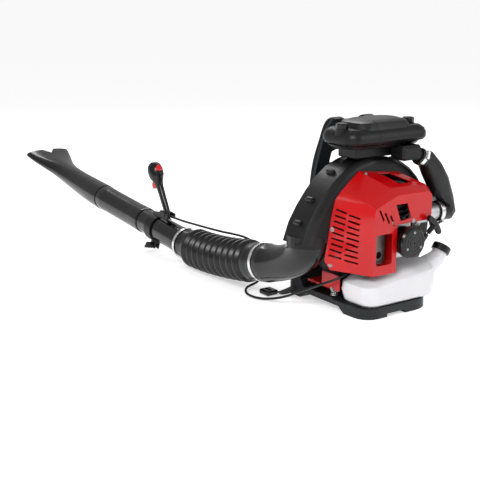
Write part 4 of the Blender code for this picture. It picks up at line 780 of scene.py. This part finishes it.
def apply_all(piece):
    """Turns the piece's modifiers into its mesh."""
    graph = bpy.context.evaluated_depsgraph_get()
    made = bpy.data.meshes.new_from_object(piece.evaluated_get(graph))
    old = piece.data
    piece.modifiers.clear()
    piece.data = made
    bpy.data.meshes.remove(old)


def swell(piece):
    """Blows the closed pad up as cloth, keeping its back flat on the plate and its rise small."""
    cloth = piece.modifiers.new("cloth", "CLOTH")
    cloth.settings.use_pressure = True
    cloth.settings.uniform_pressure_force = 4.0
    cloth.settings.effector_weights.gravity = 0.0
    cloth.settings.tension_stiffness = 12.0
    cloth.settings.bending_stiffness = 0.8
    rest = [v.co.copy() for v in piece.data.vertices]
    for step in range(1, PAD_STEPS + 1):
        SCENE.frame_set(step)
    apply_all(piece)
    for vertex, start in zip(piece.data.vertices, rest):
        move = vertex.co - start
        move.y = max(move.y, 0.0)
        vertex.co = start + move * min(1.0, PAD_RISE / max(move.length, 1e-9))


def sew_channels(piece, heights, depth, spread):
    """Presses cross seams into the pad's front face."""
    for vertex, normal in [(v, v.normal.copy()) for v in piece.data.vertices]:
        if normal.y < FRONT_FACING:
            continue
        nearest = min(abs(vertex.co.z - z) for z in heights)
        vertex.co -= normal * depth * bell(nearest, spread)


def back_pad():
    """Padding on the back plate, blown up as cloth, then sewn across."""
    mesh = cad_copy("back_pad", "back_pad_look")
    piece = new_piece("back_pad_look", mesh, "fabric_black", "chassis")
    remesh = piece.modifiers.new("remesh", "REMESH")
    remesh.mode = "VOXEL"
    remesh.voxel_size = PAD_VOXEL
    apply_all(piece)
    swell(piece)
    sew_channels(piece, PAD_CHANNELS, CHANNEL_DEPTH, CHANNEL_SPREAD)
    finer = piece.modifiers.new("finer", "SUBSURF")
    finer.levels = finer.render_levels = 1
    apply_all(piece)
    piece.data.shade_smooth()
    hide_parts("back_pad")


STRAP_WIDTHS = (0.030, 0.044, 0.052, 0.054, 0.054, 0.052, 0.046, 0.030, 0.026, 0.026)
STRAP_THICK = (0.003, 0.008, 0.011, 0.012, 0.012, 0.011, 0.009, 0.004, 0.003, 0.003)
SEAM_AT, SEAM_SPREAD, SEAM_DEPTH = 0.80, 0.05, 0.38  # shares of the strap's half width and thickness


def strap_knots(sign):
    x = sign * 0.050
    return [
        Vector((x, 0.0130, 0.4502)), Vector((x, 0.0290, 0.4520)), Vector((x, 0.0450, 0.4370)),
        Vector((x, 0.0590, 0.3950)), Vector((x, 0.0800, 0.3350)), Vector((x, 0.0930, 0.2650)),
        Vector((x * 1.06, 0.1030, 0.1950)), Vector((x * 1.16, 0.1050, 0.1350)),
        Vector((x * 1.28, 0.1000, 0.0900)), Vector((x * 1.40, 0.0950, 0.0625)),
    ]


def strap_ring(centre, tangent, half_width, half_thick, sides=48):
    """Cushion section with a pressed seam a little in from each edge."""
    outward = tangent.cross(X_AXIS).normalized()
    ring = []
    for k in range(sides):
        across, rise = cos(tau * k / sides), sin(tau * k / sides)
        flat = abs(across) ** 0.62 * (1 if across >= 0 else -1)
        seam = 1.0 - SEAM_DEPTH * bell(abs(flat) - SEAM_AT, SEAM_SPREAD)
        crown = abs(rise) ** 0.75 * (1 if rise >= 0 else -1)
        ring.append(centre + X_AXIS * half_width * flat + outward * half_thick * crown * seam)
    return ring


def shoulder_strap(name, sign):
    """Padded strap over the top bar and down to the foot, quilted across."""
    route = catmull(strap_knots(sign), 0.0022)
    last = len(route) - 1
    rings = []
    for k, (centre, tangent) in enumerate(zip(route, tangents(route))):
        share = k / last
        width = 0.5 * eased(STRAP_WIDTHS, share)
        thick = 0.5 * eased(STRAP_THICK, share)
        quilt = 1.0 - 0.10 * max(0.0, sin(tau * share * 9.0)) ** 8
        rings.append(strap_ring(centre, tangent, width * 0.99, thick * 0.97 * quilt))
    mesh = skin_mesh(name + "_look", rings)
    piece = new_piece(name + "_look", mesh, "fabric_black", "chassis", 60.0)
    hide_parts(name)


def web_band(name, knots, half_width, half_thick, across):
    """Flat webbing along a route, with a map that runs along it for the threads."""
    route = catmull(knots, 0.003)
    points, faces, marks = [], [], []
    for k, (centre, tangent) in enumerate(zip(route, tangents(route))):
        side = (across - tangent * across.dot(tangent)).normalized()
        outward = tangent.cross(side)
        for a, b in ((-1, -1), (1, -1), (1, 1), (-1, 1)):
            points.append(centre + side * half_width * a + outward * half_thick * b)
            marks.append((0.5 + 0.5 * a, k * 0.12))
    count = len(route)
    for k in range(count - 1):
        for c in range(4):
            n = (c + 1) % 4
            faces.append((k * 4 + c, k * 4 + n, k * 4 + 4 + n, k * 4 + 4 + c))
    faces.append((3, 2, 1, 0))
    faces.append(tuple(range((count - 1) * 4, count * 4)))
    mesh = bpy.data.meshes.new(name)
    mesh.from_pydata([tuple(p) for p in points], [], faces)
    layer = mesh.uv_layers.new(name="strap")
    for loop in mesh.loops:
        layer.data[loop.index].uv = marks[loop.vertex_index]
    piece = new_piece(name, mesh, "webbing", "chassis", 40.0)
    edge = piece.modifiers.new("edge", "BEVEL")
    edge.width, edge.segments = half_thick * 0.6, 2
    return piece


def lower_strap():
    """Short webbing from the foot out to the buckle."""
    knots = [
        Vector((-0.1262, 0.082, 0.0200)), Vector((-0.133, 0.090, 0.0140)), Vector((-0.143, 0.100, 0.0080)),
        Vector((-0.152, 0.110, 0.0056)), Vector((-0.160, 0.118, 0.0080)),
    ]
    piece = web_band("lower_strap_look", knots, 0.0123, 0.0011, Y_AXIS)
    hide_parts("lower_strap")


# ---- screws and small fittings -------------------------------------------------------------------
def surface_of(node):
    mesh = frame["nodes"][node].data
    return BVHTree.FromPolygons([v.co for v in mesh.vertices], [p.vertices for p in mesh.polygons])


def settle(node, start, direction):
    """Where a straight line first meets a CAD node, and that face's outward normal."""
    place, normal, _, _ = surface_of(node).ray_cast(Vector(start), Vector(direction).normalized())
    return place, normal


def head_profile(radius):
    """Flanged screw head with a socket, as (radius, height) pairs."""
    rise = 0.62 * radius
    return [(1.35 * radius, -0.0006), (1.35 * radius, 0.12 * radius), (1.02 * radius, 0.17 * radius),
            (1.00 * radius, 0.85 * rise), (0.92 * radius, rise), (0.56 * radius, rise),
            (0.50 * radius, 0.9 * rise), (0.46 * radius, 0.35 * rise)]


def screw(name, place, normal, radius, look="screw_steel"):
    mesh = turned_mesh(name, head_profile(radius), place, normal, 18, False)
    return new_piece(name, mesh, look, "chassis", 40.0)


COVER_SCREWS = (
    ((-0.0654, -0.1045, 0.40), (0.0, 0.0, -1.0)), ((-0.25, -0.0985, 0.2115), (1.0, 0.0, 0.0)),
    ((0.0172, -0.30, 0.2252), (0.0, 1.0, 0.0)), ((-0.30, -0.0985, 0.1250), (1.0, 0.0, 0.0)),
)
BRACKET_SCREWS = (
    ((-0.30, -0.0626, 0.0526), (1.0, 0.0, 0.0)), ((0.30, -0.0626, 0.0526), (-1.0, 0.0, 0.0)),
)
RIM_ANGLES = (168.0, 152.0, 128.0, 100.0, 66.0, 36.0, 8.0, -22.0)


def screws_on(node, name, lines, radius):
    """A screw where each line, given as its start and direction, meets the node."""
    for count, (start, direction) in enumerate(lines):
        place, normal = settle(node, start, direction)
        screw(f"{name}_{count}", place, normal, radius)


def rim_lugs():
    """Screwed lugs along the split of the fan's housing."""
    for count, degrees in enumerate(RIM_ANGLES):
        outward = Vector((cos(radians(degrees)), 0.0, sin(radians(degrees))))
        start = Vector((0.0, VOLUTE_MID_Y - 0.004, CRANK_Z)) + outward * 0.40
        place, _ = settle("volute_rear", start, -outward)
        centre = place + outward * 0.0015 - Y_AXIS * 0.0080
        profile = [(0.0050, 0.0), (0.0066, 0.0008), (0.0070, 0.0030), (0.0070, 0.0200), (0.0062, 0.0216),
                   (0.0040, 0.0220)]
        mesh = turned_mesh(f"rim_lug_{count}", profile, centre, Y_AXIS, 24, False)
        new_piece(f"rim_lug_{count}", mesh, "housing_black", "chassis", 40.0)
        screw(f"rim_screw_{count}", centre, -Y_AXIS, 0.0030, "screw_black")


def starter_rings():
    """Raised rings and three screws on the starter's face."""
    for count, radius in enumerate((0.0120, 0.0205, 0.0290)):
        profile = [(radius - 0.0011, -0.0004), (radius - 0.0008, 0.0008), (radius + 0.0008, 0.0008),
                   (radius + 0.0011, -0.0004)]
        centre = Vector((0.0, STARTER_FACE_Y, CRANK_Z))
        mesh = turned_mesh(f"starter_ring_{count}", profile, centre, -Y_AXIS, 64, True)
        new_piece(f"starter_ring_{count}", mesh, "gloss_black", "chassis", 50.0)
    for count in range(3):
        angle = radians(90.0 + 120.0 * count)
        outward = Vector((cos(angle), 0.0, sin(angle)))
        place = Vector((0.0, STARTER_FACE_Y, CRANK_Z)) + outward * 0.0248
        screw(f"starter_screw_{count}", place, -Y_AXIS, 0.0024, "screw_steel")


def seam_line(name, node, x, half_width, lift):
    """Thin dark line round a node where a plane of constant X cuts it."""
    mesh = cad_copy(node, name)
    work = bmesh.new()
    work.from_mesh(mesh)
    for sign in (-1.0, 1.0):
        cut_at = Vector((x + sign * half_width, 0.0, 0.0))
        bmesh.ops.bisect_plane(work, geom=work.verts[:] + work.edges[:] + work.faces[:], plane_co=cut_at,
                               plane_no=Vector((sign, 0.0, 0.0)), clear_outer=True)
    work.normal_update()
    for vertex in work.verts:
        vertex.co += vertex.normal * lift
    work.to_mesh(mesh)
    work.free()
    return new_piece(name, mesh, "dark_inside", BODY_OF[node], 30.0)


def fittings():
    """Small pieces that only the looks have."""
    screws_on("engine_cover", "cover_screw", COVER_SCREWS, 0.0038)
    rim_lugs()
    starter_rings()
    seam_line("cleaner_seam", "filter_cover", -0.040, 0.0007, 0.00025)
    screws_on("engine_bracket", "frame_screw", BRACKET_SCREWS, 0.0040)
    place, normal = settle("carburettor", (0.104, -0.30, 0.2150), (0.0, 1.0, 0.0))
    screw("fuel_union", place, normal, 0.0042, "brass")


# ---- the rest --------------------------------------------------------------------------------------
REBUILT = {"outlet_elbow", "flexible_pipe", "swivel_pipe", "straight_pipe", "nozzle", "throttle_cable",
           "throttle_cable_bellows", "throttle_cable_pipe", "back_pad", "shoulder_strap_left",
           "shoulder_strap_right", "lower_strap"}


make_camera()
make_studio()
back_pad()
shoulder_strap("shoulder_strap_left", -1)
shoulder_strap("shoulder_strap_right", 1)
lower_strap()
throttle_cable()
outlet_elbow()
flexible_pipe()
rigid_pipes()
nozzle()
for node_name in sorted(frame["nodes"]):
    if node_name not in REBUILT:
        dress(node_name)
fittings()
